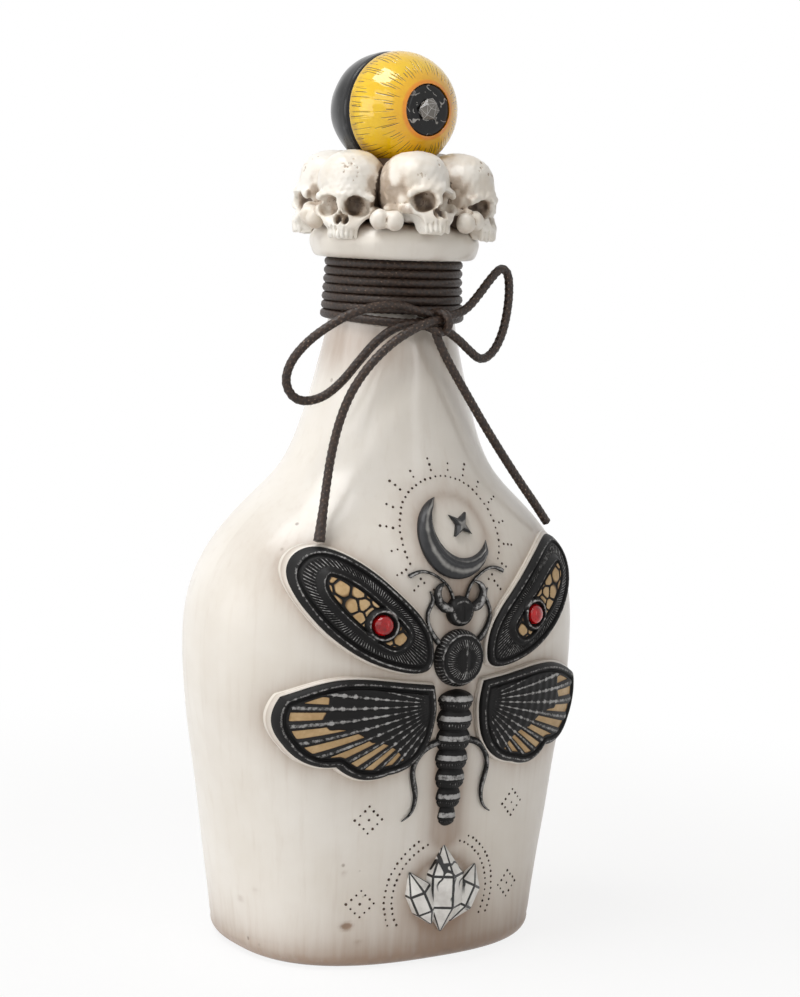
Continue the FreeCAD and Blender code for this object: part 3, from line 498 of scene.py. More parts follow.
class Recipe(Wiring):
    """A Geometry Nodes tree with named inputs, and a way to run it."""

    def __init__(self, name, inputs):
        self.tree = bpy.data.node_groups.new(name, "GeometryNodeTree")
        face = self.tree.interface
        face.new_socket("Geometry", in_out="INPUT", socket_type="NodeSocketGeometry")
        face.new_socket("Geometry", in_out="OUTPUT", socket_type="NodeSocketGeometry")
        for key, kind in inputs.items():
            face.new_socket(key, in_out="INPUT", socket_type="NodeSocket" + kind)
        self.start = self.tree.nodes.new("NodeGroupInput")
        self.end = self.tree.nodes.new("NodeGroupOutput")

    def given(self, name):
        return Value(self, self.start.outputs[name])

    def keep(self, geometry, key, value):
        """Capture a number on the points of a curve, to be used after it becomes a mesh."""
        node = self.node("GeometryNodeCaptureAttribute", {}, {"Geometry": geometry})
        node.capture_items.new("FLOAT", key)
        self.join(node.inputs[1], value)
        return node.outputs[0], Value(self, node.outputs[1])

    def store(self, geometry, key, value):
        sockets = {"Geometry": geometry, "Name": key, "Value": value}
        return self.node("GeometryNodeStoreNamedAttribute", {}, sockets).outputs[0]

    def finish(self, geometry, material):
        """Last nodes of every recipe: real faces, smooth, with their material."""
        real = self.node("GeometryNodeRealizeInstances", {}, {"Geometry": geometry}).outputs[0]
        smooth = self.node("GeometryNodeSetShadeSmooth", {}, {0: real}).outputs[0]
        made = self.node("GeometryNodeSetMaterial", {}, {"Geometry": smooth, "Material": material})
        self.join(self.end.inputs[0], made.outputs[0])

    def run(self, name, carrier, values):
        """The recipe's mesh for one carrier, which is removed."""
        modifier = carrier.modifiers.new("recipe", "NODES")
        modifier.node_group = self.tree
        for socket in self.tree.interface.items_tree:
            if socket.in_out == "INPUT" and socket.name in values:
                modifier[socket.identifier] = values[socket.name]
        carrier.update_tag()
        bpy.context.view_layer.update()
        ready = carrier.evaluated_get(bpy.context.evaluated_depsgraph_get())
        mesh = bpy.data.meshes.new_from_object(ready)
        mesh.name = name
        made = placed(name, mesh)
        bpy.data.objects.remove(carrier)
        return outward(made)


print("recipes ready")

# %% [markdown]
# ## Waxed cord
# The cord is a dark brown braid, about two millimetres thick. Its strands cross in small diamonds
# that catch the light as pale flecks. The braid is real relief: a recipe sweeps a circle along the
# curve and pushes the skin in and out by the product of two waves, one round it and one along it.
# The same two numbers stay on the points, so the colour can follow the strands.

# %% Cord finish and recipe
STRANDS_ROUND = 5
STRAND_LAY = 1.5
STRAND_RELIEF = 0.085

cord_finish = Finish("waxed_cord", specular_ior_level=0.4)
# Painted highlight: the crests of the strands are painted pale, where they would catch the light.
fleck = cord_finish.mask("strand").between(0.35, 1.0)
wax = cord_finish.noise(1400, 2.0)
wear_and_glint = cord_finish.noise(160, 3.0).between(0.42, 0.7)
cord_brown = cord_finish.mix(wax.between(0.35, 0.7), tint(36, 25, 19), tint(62, 46, 36))
cord_glint = cord_finish.mix(wear_and_glint, tint(112, 91, 76), tint(172, 149, 130))
cord_finish.paint("Base Color", cord_finish.mix(fleck * wax.between(0.30, 0.72), cord_brown, cord_glint))
cord_finish.paint("Roughness", 0.26 + wax * 0.36)
cord_finish.bump(cord_finish.noise(1900, 2.0), 0.16, 0.9)

cord_recipe = Recipe("braided_cord", {
    "Diameter": "Float", "Step": "Float", "Strands": "Float", "Lay": "Float", "Relief": "Float",
    "Sides": "Int", "Material": "Material",
})
walk = cord_recipe.node("GeometryNodeResampleCurve", {"mode": "LENGTH"}, {
    "Curve": cord_recipe.start.outputs[0], "Length": cord_recipe.given("Step"),
}).outputs[0]
place = cord_recipe.node("GeometryNodeSplineParameter", {}, {})
walk, along = cord_recipe.keep(walk, "along", place.outputs["Length"])
ring = cord_recipe.node("GeometryNodeCurvePrimitiveCircle", {"mode": "RADIUS"}, {
    "Resolution": cord_recipe.given("Sides"), "Radius": cord_recipe.given("Diameter") * 0.5,
}).outputs[0]
ring, around = cord_recipe.keep(ring, "around", place.outputs["Factor"])
thick = cord_recipe.node("GeometryNodeInputRadius", {}, {}).outputs[0]
tube = cord_recipe.node("GeometryNodeCurveToMesh", {}, {
    "Curve": walk, "Profile Curve": ring, "Scale": thick, "Fill Caps": True,
}).outputs[0]
turn = 2 * math.pi
round_phase = around * cord_recipe.given("Strands") * turn
lay_phase = along.maths("DIVIDE", along * turn, cord_recipe.given("Lay"))
strand = around.maths("SINE", round_phase, 0.0) * along.maths("COSINE", lay_phase, 0.0)
facing = cord_recipe.node("GeometryNodeInputNormal", {}, {}).outputs[0]
push = cord_recipe.node("ShaderNodeVectorMath", {"operation": "SCALE"}, {
    "Vector": facing, "Scale": strand * cord_recipe.given("Relief"),
}).outputs[0]
tube = cord_recipe.store(tube, "strand", strand)
tube = cord_recipe.node("GeometryNodeSetPosition", {}, {"Geometry": tube, "Offset": push}).outputs[0]
cord_recipe.finish(tube, cord_recipe.given("Material"))
print("cord recipe nodes:", len(cord_recipe.tree.nodes))

# %% [markdown]
# ## Bow
# The bow is cord that hangs by its own weight, so each loop and tail is one smooth spline through
# the same points as its solid. The tube follows that spline. The knot is two short wraps of the
# same cord over the strands.

# %% Bow routes
CORD_DIAMETER = 1.9
FRAYED_END = 1.35
LOOP_LEFT = (
    (-2.0, -18.9, 142.5), (-6.4, -18.7, 143.7), (-10.6, -18.3, 144.8), (-15.6, -17.7, 144.5),
    (-20.6, -16.6, 143.0), (-25.4, -15.0, 140.2), (-29.6, -13.0, 136.6), (-32.8, -11.2, 132.0),
    (-33.6, -10.6, 127.2), (-30.9, -11.2, 123.5), (-26.0, -12.6, 123.9), (-21.8, -14.3, 127.4),
    (-18.2, -15.9, 132.6), (-14.8, -17.2, 137.0), (-11.0, -18.3, 139.9), (-6.8, -18.9, 140.9),
    (-2.4, -19.0, 140.1),
)
LOOP_RIGHT = (
    (0.6, -18.9, 142.3), (4.4, -18.4, 142.5), (8.2, -17.7, 143.9), (11.8, -16.9, 147.0),
    (15.2, -16.1, 150.4), (18.6, -15.4, 153.2), (21.0, -14.9, 151.8), (21.5, -14.9, 147.6),
    (20.8, -15.3, 142.8), (19.3, -15.9, 138.2), (16.6, -16.6, 134.2), (12.8, -17.3, 132.4),
    (8.9, -18.0, 134.9), (5.2, -18.5, 137.7), (0.9, -18.9, 140.0),
)
TAIL_LEFT = (
    (-0.4, -20.3, 141.6), (-4.2, -21.6, 141.4), (-8.6, -22.0, 139.8), (-13.7, -21.6, 136.8),
    (-18.6, -20.8, 132.2), (-22.4, -19.6, 126.2), (-24.6, -18.8, 119.8), (-26.1, -18.5, 113.0),
    (-27.3, -18.9, 106.4), (-28.7, -20.0, 100.2), (-30.2, -21.4, 94.6),
)
TAIL_RIGHT = (
    (-1.6, -19.6, 139.8), (-0.6, -20.5, 136.4), (2.5, -20.7, 131.4), (7.2, -20.5, 125.2),
    (12.3, -20.3, 118.4), (17.8, -20.3, 111.4), (23.0, -20.4, 105.0), (27.4, -20.4, 100.0),
    (31.0, -19.8, 96.0),
)
KNOT_WRAPS = (
    ((-0.7, -17.6, 142.9), (-0.4, -19.8, 143.5), (0.1, -21.7, 142.8), (0.5, -22.4, 141.2),
     (0.5, -21.6, 139.6), (0.3, -19.8, 138.8), (0.0, -18.0, 139.2)),
    ((-5.0, -17.8, 141.2), (-4.2, -19.6, 140.6), (-2.8, -20.9, 139.7), (-1.2, -21.0, 139.1),
     (0.2, -20.2, 139.0), (1.4, -18.8, 139.6), (2.0, -17.4, 140.4)),
)


def cord_line(name, routes, end_flare=1.0):
    """Curve object with one smooth spline for each route, thicker at its last point by a flare."""
    data = bpy.data.curves.new(name, "CURVE")
    data.dimensions = "3D"
    data.resolution_u = 12
    for route in routes:
        spline = data.splines.new("NURBS")
        spline.points.add(len(route) - 1)
        for point, spot in zip(spline.points, route):
            point.co = (*(v * MM for v in spot), 1.0)
            point.radius = 1.0
        spline.points[-1].radius = end_flare
        spline.order_u = 3
        spline.use_endpoint_u = True
    return placed(name, data)


def points_along(line):
    """Points of the spline itself, in metres."""
    bpy.context.view_layer.update()
    mesh = bpy.data.meshes.new_from_object(line.evaluated_get(bpy.context.evaluated_depsgraph_get()))
    points = [tuple(v.co) for v in mesh.vertices]
    bpy.data.meshes.remove(mesh)
    return points


def braided(name, line, diameter, sides=22, step_mm=0.2):
    return cord_recipe.run(name, line, {
        "Diameter": diameter * MM, "Step": step_mm * MM, "Strands": float(STRANDS_ROUND),
        "Lay": STRAND_LAY * MM, "Relief": STRAND_RELIEF * MM, "Sides": sides,
        "Material": cord_finish.material,
    })


def bow_piece(name, node, route, flare=1.0):
    """One free end or loop of the bow, as a braided tube on the bottle."""
    line = cord_line(name + "_line", [route], flare)
    path = points_along(line)
    made = wears(braided(name, line, CORD_DIAMETER), "bottle", "cord", node)


bow_piece("waxed_loop_left", "bow_loop_left", LOOP_LEFT)
bow_piece("waxed_loop_right", "bow_loop_right", LOOP_RIGHT)
bow_piece("waxed_tail_left", "cord_tail_left", TAIL_LEFT, FRAYED_END)
bow_piece("waxed_tail_right", "cord_tail_right", TAIL_RIGHT)
knot = braided("waxed_knot", cord_line("knot_line", KNOT_WRAPS), CORD_DIAMETER)
wears(knot, "bottle", "cord", "bow_knot")

# %% [markdown]
# ## Winding
# Seven close turns of the cord cover the neck. They lie level round the front and climb to the
# next turn at the back, and the lowest, which goes into the knot, sags a little beside it.
# The turns are the control points of one spline, so they stay even and touch each other.

# %% Winding
WINDING_TURNS = 7
POINTS_PER_TURN = 24
WINDING_LOW = 141.55
WINDING_PITCH = 1.925
WOUND_DIAMETER = 1.98
WOUND_GAP = 0.06
WOUND_WOBBLE = 0.05
CLIMB_SHARE = 0.14
TIE_SAG = 1.0
TIE_PLACE = 3.45
TIE_SPREAD = 0.75

winding = []
for count in range(WINDING_TURNS * POINTS_PER_TURN + 1):
    turns = count / POINTS_PER_TURN
    angle = 2 * math.pi * turns
    climbed = sum(step(turns, k - CLIMB_SHARE, k + CLIMB_SHARE) for k in range(1, WINDING_TURNS))
    height = WINDING_LOW + WINDING_PITCH * float(climbed)
    if turns < 1:
        height -= TIE_SAG * math.exp(-((angle - TIE_PLACE) / TIE_SPREAD) ** 2)
    reach = half_sizes(height)[0] + WOUND_DIAMETER / 2 + WOUND_GAP + WOUND_WOBBLE * math.sin(5.3 * turns)
    reach /= math.cos(math.pi / POINTS_PER_TURN)
    winding.append((reach * math.sin(angle), reach * math.cos(angle), height))
winding_line = cord_line("winding_line", [winding])
wound = braided("waxed_winding", winding_line, WOUND_DIAMETER, sides=16, step_mm=0.28)
wears(wound, "bottle", "cord", "cord_winding")

# %% [markdown]
# ## Where the reliefs sit
# The front carries a winged beetle, a crescent with a star and a cluster of crystals, with rows of
# small dots between them. Their outlines are drawn flat, across and up, and laid on the skin later.
# They come before the bottle, because brown is painted round each of them: the maker's airbrush,
# and painted shade where they meet the skin.

# %% Relief outlines
WING_CASE = ((7.4, 72.6), (14.5, 83.0), (24.0, 91.0), (31.5, 93.2), (36.4, 88.6), (34.4, 80.4),
             (26.0, 71.8), (15.0, 67.0), (8.0, 67.4))
WING_CASE_PANEL = ((12.0, 74.0), (18.0, 82.5), (25.5, 88.6), (31.0, 89.8), (33.0, 86.4),
                   (30.6, 80.4), (23.6, 73.6), (15.6, 70.4))
HIND_WING_ROOT = ((6.6, 52.5), (5.8, 58.0), (6.6, 63.6))
HIND_WING_EDGE = ((6.6, 63.6), (16.0, 64.8), (29.0, 65.2), (38.5, 61.5))
HIND_WING_RIM = ((38.5, 61.5), (37.5, 51.0), (27.5, 46.4), (16.5, 44.2), (6.6, 52.5))
WING_CASE_MIDDLE = (21.5, 79.5)
HIND_WING_MIDDLE = (20.5, 56.5)
SCALLOP = 0.16
MEDALLION = (0.0, 95.0)
CRESCENT_RADIUS = 8.8
CRYSTAL_FOOT = 7.0
CRYSTAL_LENGTH = 20.0
OUTLINE_POINTS = 600


def evenly(line, count):
    """A closed outline in even steps."""
    line = np.vstack([line, line[:1]])
    place = np.concatenate([[0], np.cumsum(np.linalg.norm(np.diff(line, axis=0), axis=1))])
    at = np.linspace(0, place[-1], count, endpoint=False)
    return np.stack([np.interp(at, place, line[:, axis]) for axis in (0, 1)], -1)


def scalloped_rim():
    """The hind wing's outer edge: one low arc after another."""
    share = np.linspace(0, 1, 60)[1:, None]
    runs = []
    for start, end in zip(np.array(HIND_WING_RIM), np.array(HIND_WING_RIM)[1:]):
        across = end - start
        out = np.array((-across[1], across[0])) * SCALLOP
        runs.append(start + across * share + out * 4 * share * (1 - share))
    return np.vstack(runs)


def hind_wing_outline():
    runs = [natural_spline(HIND_WING_ROOT, 60), natural_spline(HIND_WING_EDGE, 160)[1:], scalloped_rim()]
    return evenly(np.vstack(runs)[:-1], OUTLINE_POINTS)


def circle_line(centre, radius, count):
    return arc_points(centre, radius, round_angles(count))


def away_from(flat, centre):
    return np.hypot(flat[..., 0] - centre[0], flat[..., 1] - centre[1])


wing_case_line = evenly(natural_spline(WING_CASE, 1200, closed=True), OUTLINE_POINTS)
panel_line = evenly(natural_spline(WING_CASE_PANEL, 1200, closed=True), OUTLINE_POINTS)
hind_wing_line = hind_wing_outline()


def line_distance(points, line, chunk=4000):
    """Distance from points to a closed outline."""
    flat = points.reshape(-1, 2)
    ends = np.roll(line, -1, axis=0)
    run = ends - line
    size = (run ** 2).sum(1)
    found = np.empty(len(flat))
    for first in range(0, len(flat), chunk):
        gap = flat[first:first + chunk, None] - line[None]
        share = np.clip((gap * run).sum(-1) / size, 0, 1)
        found[first:first + chunk] = np.sqrt(((gap - share[..., None] * run) ** 2).sum(-1)).min(1)
    return found.reshape(points.shape[:-1])


def is_inside(points, line):
    """Whether points lie inside a closed outline, by counting crossings."""
    flat = points.reshape(-1, 2)
    ends = np.roll(line, -1, axis=0)
    inside = np.zeros(len(flat), bool)
    for (ax, az), (bx, bz) in zip(line, ends):
        if az == bz:
            continue
        crosses = (flat[:, 1] < az) != (flat[:, 1] < bz)
        at = ax + (flat[:, 1] - az) * (bx - ax) / (bz - az)
        inside ^= crosses & (flat[:, 0] < at)
    return inside.reshape(points.shape[:-1])


for word, line in (("wing case", wing_case_line), ("panel", panel_line), ("hind wing", hind_wing_line)):
    print(word, "outline in mm:", np.linalg.norm(np.diff(line, axis=0), axis=1).sum().round(1))

# %% [markdown]
# ## Resin finish
# The bottle and the stopper's collar are cast in off-white resin with a satin glaze. Up close it has
# faint upright brush marks, tiny pits and a thin warm stain. Brown paint was wiped on and off
# again, so it stays round the reliefs, and the glaze lies thicker on the neck. The same brown is
# painted shade where the reliefs meet the skin, on the neck below the winding and more on its left,
# and on the lower right flank, and it darkens towards the foot. Where stain, painted shade and glaze
# lie comes from masks on the points, and only their grain comes from noise.

# %% Resin finish
resin = Finish("cast_resin", coat_roughness=0.19, coat_ior=1.6, specular_ior_level=0.3)
# One mask on the points carries both the brown stain and the painted shade.
stain = resin.mask("stain")
cloud = resin.noise(38, 4.0)
strokes = resin.noise(90, 3.0, where=resin.stretched((6.0, 6.0, 0.35)))
speck = resin.cells(260).between(0.16, 0.07) * resin.noise(60, 2.0).between(0.60, 0.70)
cream = resin.mix(cloud.between(0.3, 0.75), tint(245, 241, 234), tint(236, 230, 220))
cream = resin.mix(strokes.between(0.5, 0.85) * 0.18, cream, tint(210, 197, 181))
brown = resin.mix(strokes, tint(138, 112, 93), tint(174, 150, 130))
shade = stain * (0.65 + strokes * 0.5) * (0.75 + cloud * 0.45)
resin_colour = resin.mix(shade.between(0.02, 1.05), cream, brown)
resin.paint("Base Color", resin.mix(speck * 0.7, resin_colour, tint(120, 97, 82)))
resin.paint("Roughness", 0.30 + cloud * 0.16 + stain * 0.12)
resin.paint("Coat Weight", 0.36 + resin.mask("gloss") * 0.64)
resin.bump(strokes * 0.5 + cloud * 0.6 - speck * 1.6, 0.22, 0.5)
print("resin nodes:", len(resin.tree.nodes))

# %% [markdown]
# ## Bottle
# The bottle is one closed skin: foot, heel, flanks, shoulder and neck, then over the rim and down the
# bore to the inside. Each row is an oval whose half sizes come from the profile. A hand-made cast is
# never quite true, so the outside swells and dips by a tenth of a millimetre or two.

# %% Bottle
COLUMNS = 360
HEEL_RADIUS = 3.6
WALL = 3.6
FLOOR_THICKNESS = 5.0
BORE_RADIUS = 10.2
RIM_EDGE = 0.8
FOOT_RINGS = (0.02, 0.3, 0.6, 0.85, 0.97)
FOOT_GROOVE = 4.6
BORE_MIDDLE = 149.0
BORE_FOOT = 141.5
INSIDE_TOP = 138.5
FLOOR_RINGS = (0.97, 0.6, 0.02)
CRYSTAL_SHADE = (0, 16)
MARK_SQUASH = (1.0, 1.0, 1.7)
MARKS = (
    ((-22.2, -25.2, 10.0), 1.0, 0.6, 1.6),
    ((-23.5, -25.5, 22.0), 0.6, 0.2, 0.5),
    ((-38.0, -6.0, 13.3), 1.1, 0.0, 0.35),
    ((-37.0, -11.0, 16.5), 0.9, 0.0, 0.25),
    ((-19.5, -25.7, 6.3), 0.8, 0.2, 0.2),
)


def oval_row(half_width, half_depth, power, height):
    angle = round_angles(COLUMNS)
    reach = np.abs(np.cos(angle) / half_width) ** power + np.abs(np.sin(angle) / half_depth) ** power
    reach = reach ** (-1 / power)
    return np.stack([reach * np.cos(angle), reach * np.sin(angle), np.full(COLUMNS, height)], -1)


def body_row(height, inset):
    half_width, half_depth, power = half_sizes(height)
    return oval_row(half_width - inset, half_depth - inset, power, height)


def unevenness(points):
    """How far the cast skin lies off its true form."""
    swell = 0.10 * noise_at(points, 46.0, 11) + 0.05 * noise_at(points, 17.0, 12) - 0.2
    return swell * step(points[..., 2], 1.0, 12.0) * step(points[..., 2], 136.0, 120.0)


rows = []
for share in FOOT_RINGS:
    rows.append(body_row(0.0, HEEL_RADIUS) * (share, share, 1))
for heel in np.linspace(0, math.pi / 2, 10):
    rows.append(body_row(HEEL_RADIUS * (1 - math.cos(heel)), HEEL_RADIUS * (1 - math.sin(heel))))
rows += [body_row(height, 0.0) for height in np.linspace(HEEL_RADIUS, NECK_TOP_HEIGHT - 0.5, 210)[1:]]
outside_rows = len(rows)
for inset, drop in ((0.15, 0.14), (0.5, 0.0)):
    rows.append(oval_row(NECK_TOP_RADIUS - inset, NECK_TOP_RADIUS - inset, 2.0, NECK_TOP_HEIGHT - drop))
for reach, height in ((BORE_RADIUS + RIM_EDGE, NECK_TOP_HEIGHT), (BORE_RADIUS, NECK_TOP_HEIGHT - RIM_EDGE),
                      (BORE_RADIUS, BORE_MIDDLE), (BORE_RADIUS, BORE_FOOT)):
    rows.append(oval_row(reach, reach, 2.0, height))
rows += [body_row(height, WALL) for height in np.linspace(INSIDE_TOP, FLOOR_THICKNESS + 1.5, 24)]
for share in FLOOR_RINGS:
    rows.append(body_row(FLOOR_THICKNESS, WALL) * (share, share, 1))
skin = np.array(rows)

outside = skin[:outside_rows]
out_way = outside / np.array((SHOULDER_HALF[0] ** 2, SHOULDER_HALF[1] ** 2, 1e9))
out_way /= np.linalg.norm(out_way, axis=-1, keepdims=True) + 1e-9
foot_line = -0.16 * bell(outside[..., 2], FOOT_GROOVE, 0.5)

heights = skin[..., 2].copy()
on_front = skin[..., 1] < 0
flat = np.stack([skin[..., 0], heights], -1)
near = np.full(heights.shape, 99.0)
mirror = np.array((-1, 1))
body_line = np.stack([np.zeros(30), np.linspace(30, 86, 30)], -1)
shaded = (
    (wing_case_line[::8], 0.0), (hind_wing_line[::8], 0.0), (body_line, 3.5),
    (circle_line(MEDALLION, CRESCENT_RADIUS, 40), 0.0), (circle_line(CRYSTAL_SHADE, 8.0, 30), 0.0),
)
for line, around in shaded:
    for side in (1, mirror):
        gap = line_distance(flat[on_front], line * side) - around
        near[on_front] = np.minimum(near[on_front], gap)
near = np.clip(near, 0, None)
from_medallion = away_from(flat, MEDALLION)
# Round the reliefs: painted shade close to where they meet the skin, and a wider airbrushed brown.
stain_and_shade_mask = 0.58 * np.exp(-near / 2.6) + 0.15 * np.exp(-near / 13.0)
stain_and_shade_mask += 0.12 * bell(from_medallion, 13.3, 2.0) * on_front
# Darker towards the foot.
stain_and_shade_mask += 0.95 * np.exp(-heights / 5.2) + 0.38 * np.exp(-heights / 16.0)
# Painted shade on the neck below the winding, stronger on its left under the bow's loop, and on the lower
# right flank.
stain_and_shade_mask += (0.36 + 0.34 * step(skin[..., 0], 0, -14)) * bell(heights, 136.0, 9.0)
stain_and_shade_mask += 0.30 * step(skin[..., 0], 16, 40) * step(heights, 72, 40)
stain_and_shade_mask += 0.07 * step(noise_at(skin, 60.0, 13), -0.4, 1.2)
dents = np.zeros(heights.shape)
for spot, reach, depth, dirt in MARKS:
    close = np.exp(-(((skin - spot) * MARK_SQUASH) ** 2).sum(-1) / reach ** 2)
    dents += depth * close
    stain_and_shade_mask += dirt * close
outside += out_way * (unevenness(outside) + foot_line - dents[:outside_rows])[..., None]
stain_and_shade_mask[outside_rows:] = 0.3
glaze = {"stain": stain_and_shade_mask, "gloss": step(heights, 108.0, 126.0)}
bottle = grid_piece("resin_bottle", skin, resin, glaze)
wears(outward(bottle, capped=True), "bottle", "resin", "bottle_body")

# %% [markdown]
# ## Sculpting by distance
# Skulls and bones have no simple outline, so they are sculpted the way a modeller adds and scoops
# clay. Each lump is a function that says how far a point lies outside it. Lumps are joined or
# carved softly, and a net of points is then pulled tight over the places where the sum is zero.
# The same block of numbers, blurred, tells how deep in a crevice a point lies, which is where the
# brown wash stays and painted shade goes.

# %% Sculpting helpers


def lump(p, centre, radii, power=2.0):
    """Distance outside an oval lump. A higher power makes it squarer."""
    q = [(axis - c) / r for axis, c, r in zip(p, centre, radii)]
    size = sum(np.abs(v) ** power for v in q) ** (1 / power)
    if power != 2:
        return (size - 1) * min(radii)
    steepness = np.sqrt(sum((v / r) ** 2 for v, r in zip(q, radii)))
    return size * (size - 1) / np.maximum(steepness, 1e-9)


def rod(p, start, end, start_radius, end_radius):
    """Distance outside a round rod that may taper."""
    run = np.subtract(end, start)
    share = sum((axis - s) * r for axis, s, r in zip(p, start, run)) / (run @ run)
    share = np.clip(share, 0, 1)
    gap = sum((axis - s - share * r) ** 2 for axis, s, r in zip(p, start, run))
    return np.sqrt(gap) - (start_radius + (end_radius - start_radius) * share)


def joined(first, second, soft):
    share = np.clip(0.5 + 0.5 * (second - first) / soft, 0, 1)
    return second + (first - second) * share - soft * share * (1 - share)


def carved(first, second, soft):
    return -joined(-first, second, soft)


def net(field, low, pitch):
    """Points and quads on the zero surface of a block of distances."""
    corners = [(i, j, k) for i in (0, 1) for j in (0, 1) for k in (0, 1)]
    inner = tuple(n - 1 for n in field.shape)
    solid = (field < 0).astype(np.int8)
    count = sum(solid[i:i + inner[0], j:j + inner[1], k:k + inner[2]] for i, j, k in corners)
    cells = np.argwhere((count > 0) & (count < 8))
    total = np.zeros((len(cells), 3))
    crossings = np.zeros(len(cells))
    for a in corners:
        for axis in range(3):
            if a[axis]:
                continue
            b = np.array(a)
            b[axis] = 1
            fa = field[tuple((cells + a).T)]
            fb = field[tuple((cells + b).T)]
            cross = (fa < 0) != (fb < 0)
            share = np.where(cross, fa / np.where(cross, fa - fb, 1), 0)
            point = cells + a + share[:, None] * (b - a)
            total[cross] += point[cross]
            crossings += cross
    points = low + pitch * total / crossings[:, None]
    number = np.full(inner, -1)
    number[tuple(cells.T)] = np.arange(len(cells))
    quads = []
    for axis in range(3):
        one, two = [d for d in range(3) if d != axis]
        near = [slice(None)] * 3
        far = [slice(None)] * 3
        near[axis], far[axis] = slice(0, -1), slice(1, None)
        edges = np.argwhere((field[tuple(near)] < 0) != (field[tuple(far)] < 0))
        edges = edges[(edges[:, one] > 0) & (edges[:, two] > 0)]
        edges = edges[(edges[:, one] < inner[one]) & (edges[:, two] < inner[two])]
        ring = []
        for back_one, back_two in ((1, 1), (0, 1), (0, 0), (1, 0)):
            at = edges.copy()
            at[:, one] -= back_one
            at[:, two] -= back_two
            ring.append(number[tuple(at.T)])
        quads.append(np.stack(ring, -1))
    return points, np.vstack(quads)


def blurred(block, reach):
    """The block averaged over a cube, twice, so that the blur is soft."""
    for _ in range(2):
        for axis in range(3):
            pad = [(0, 0)] * 3
            pad[axis] = (reach + 1, reach)
            sums = np.cumsum(np.pad(block, pad, mode="edge"), axis=axis)
            block = (np.take(sums, range(2 * reach + 1, sums.shape[axis]), axis)
                     - np.take(sums, range(sums.shape[axis] - 2 * reach - 1), axis)) / (2 * reach + 1)
    return block


def turned(points, degrees):
    """Points turned about the bottle's axis."""
    c, s = cos_sin(degrees)
    x, y, z = np.moveaxis(points, -1, 0)
    return np.stack([c * x - s * y, s * x + c * y, z], -1)


print("sculpting helpers ready")

# %% [markdown]
# ## Bone finish
# The skulls and bones are the same resin, painted ivory, with a thin brown wash that was wiped off
# the high places. The crevice mask brings the wash back and adds painted shade on the skulls' sides,
# backs and lower parts and where parts meet. Convex edges get less of that painted shade, so they
# are a little paler.

# %% Bone finish
bone = Finish("washed_shaded_bone", coat_weight=0.3, coat_roughness=0.3, specular_ior_level=0.45)
depth = bone.mask("cavity")
grain = bone.noise(420, 4.0, 0.6)
patch = bone.noise(120, 3.0)
ivory = bone.mix(patch.between(0.35, 0.7), tint(250, 247, 240), tint(240, 232, 219))
# The brown below is wash in the crevices together with painted shade, both from the cavity mask.
wash_and_shade = (depth + (grain - 0.5) * 0.45 + (patch - 0.5) * 0.4).between(0.12, 0.95)
wash_and_shade_brown = bone.mix((depth + (patch - 0.5) * 0.3).between(0.5, 1.0), tint(178, 152, 125), tint(82, 69, 58))
fleck = bone.cells(700).between(0.14, 0.05) * bone.noise(200, 2.0).between(0.52, 0.62)
bone_colour = bone.mix(wash_and_shade, ivory, wash_and_shade_brown)
bone.paint("Base Color", bone.mix(fleck * 0.6, bone_colour, tint(150, 128, 108)))
bone.paint("Roughness", 0.34 + wash_and_shade * 0.25 + grain * 0.1)
bone.bump(grain * 0.6 + patch * 0.8 - fleck * 1.2, 0.12, 0.6)
print("bone nodes:", len(bone.tree.nodes))

# %% [markdown]
# ## Skulls
# Six skulls stand shoulder to shoulder on the collar and look outwards. All are built from the same
# lumps, and each has its own turn and nod, rough places and short rows of pits on the forehead.
# The lower jaw is missing, so the upper teeth stand on the collar.

# %% Skulls
RING_TURN = -17.0
RING_RADIUS = 13.8
SKULL_HEIGHT = 169.7
SKULL_TURNS = (21, -8, 5, -6, 10, 30)
SKULL_NODS = (12, 2, 5, 0, 4, 0)
EYE_HEIGHT = 186.9
EYE_RADIUS = 13.0
PITCH = 0.21
SKULL_OVERLAP = 4.0
SKULL_HALF = 8.0
SKULL_LOW = np.array((-9.8, -25.4, 157.6))
SKULL_HIGH = np.array((9.8, -4.6, 178.6))
COLLAR_TOP = ((0.0, 162.1), (13.5, 162.1), (15.6, 161.8), (17.42, 160.87), (18.5, 159.5),
              (19.1, 158.0), (19.3, 150.0))
CRANIUM = ((0, 0.3, 0.2), (7.8, 8.2, 7.9))
ADDED = (
    (lump, ((0, -2.9, 2.2), (6.4, 5.2, 5.0)), 1.4),
    (rod, ((0, -4.5, -3.0), (0, -5.1, -8.4), 4.9, 3.5), 1.5),
    (rod, ((0.7, -7.7, -1.75), (5.6, -6.0, -2.3), 1.2, 1.0), 0.8),
    (rod, ((5.8, -5.0, -5.4), (3.3, -6.9, -7.7), 1.35, 1.2), 0.8),
    (rod, ((6.1, -4.4, -5.3), (7.0, 1.2, -4.2), 1.0, 0.85), 0.5),
    (lump, ((0, -6.2, -8.6), (3.6, 3.0, 2.3)), 1.0),
    (rod, ((0, -7.7, -2.8), (0, -8.8, -5.2), 0.95, 0.7), 0.6),
)
SOCKET_PLACE = (3.2, -4.25)
SOCKET_LEAN = 12
JAW_MIDDLE = -5.1
TEETH = (8, 24, 41, 58)
TOOTH_HALF = 8
TOOTH_REACH = 3.45
CLEFT_REACH = 3.9


def block(low, high):
    counts = np.ceil((high - low) / PITCH).astype(int)
    return np.meshgrid(*[start + PITCH * np.arange(n) for start, n in zip(low, counts)], indexing="ij")


def cell_of(points, low, field):
    """Number of the cell of a block that each point lies in."""
    cells = ((points - low) / PITCH).round().astype(int)
    return tuple(np.clip(cells, 0, np.array(field.shape) - 1).T)


def under_collar(x, y, z):
    """How far a place lies under the collar's top, about."""
    radius, height = np.array(COLLAR_TOP).T
    return (np.interp(np.hypot(x, y), radius, height) - z) * 0.85


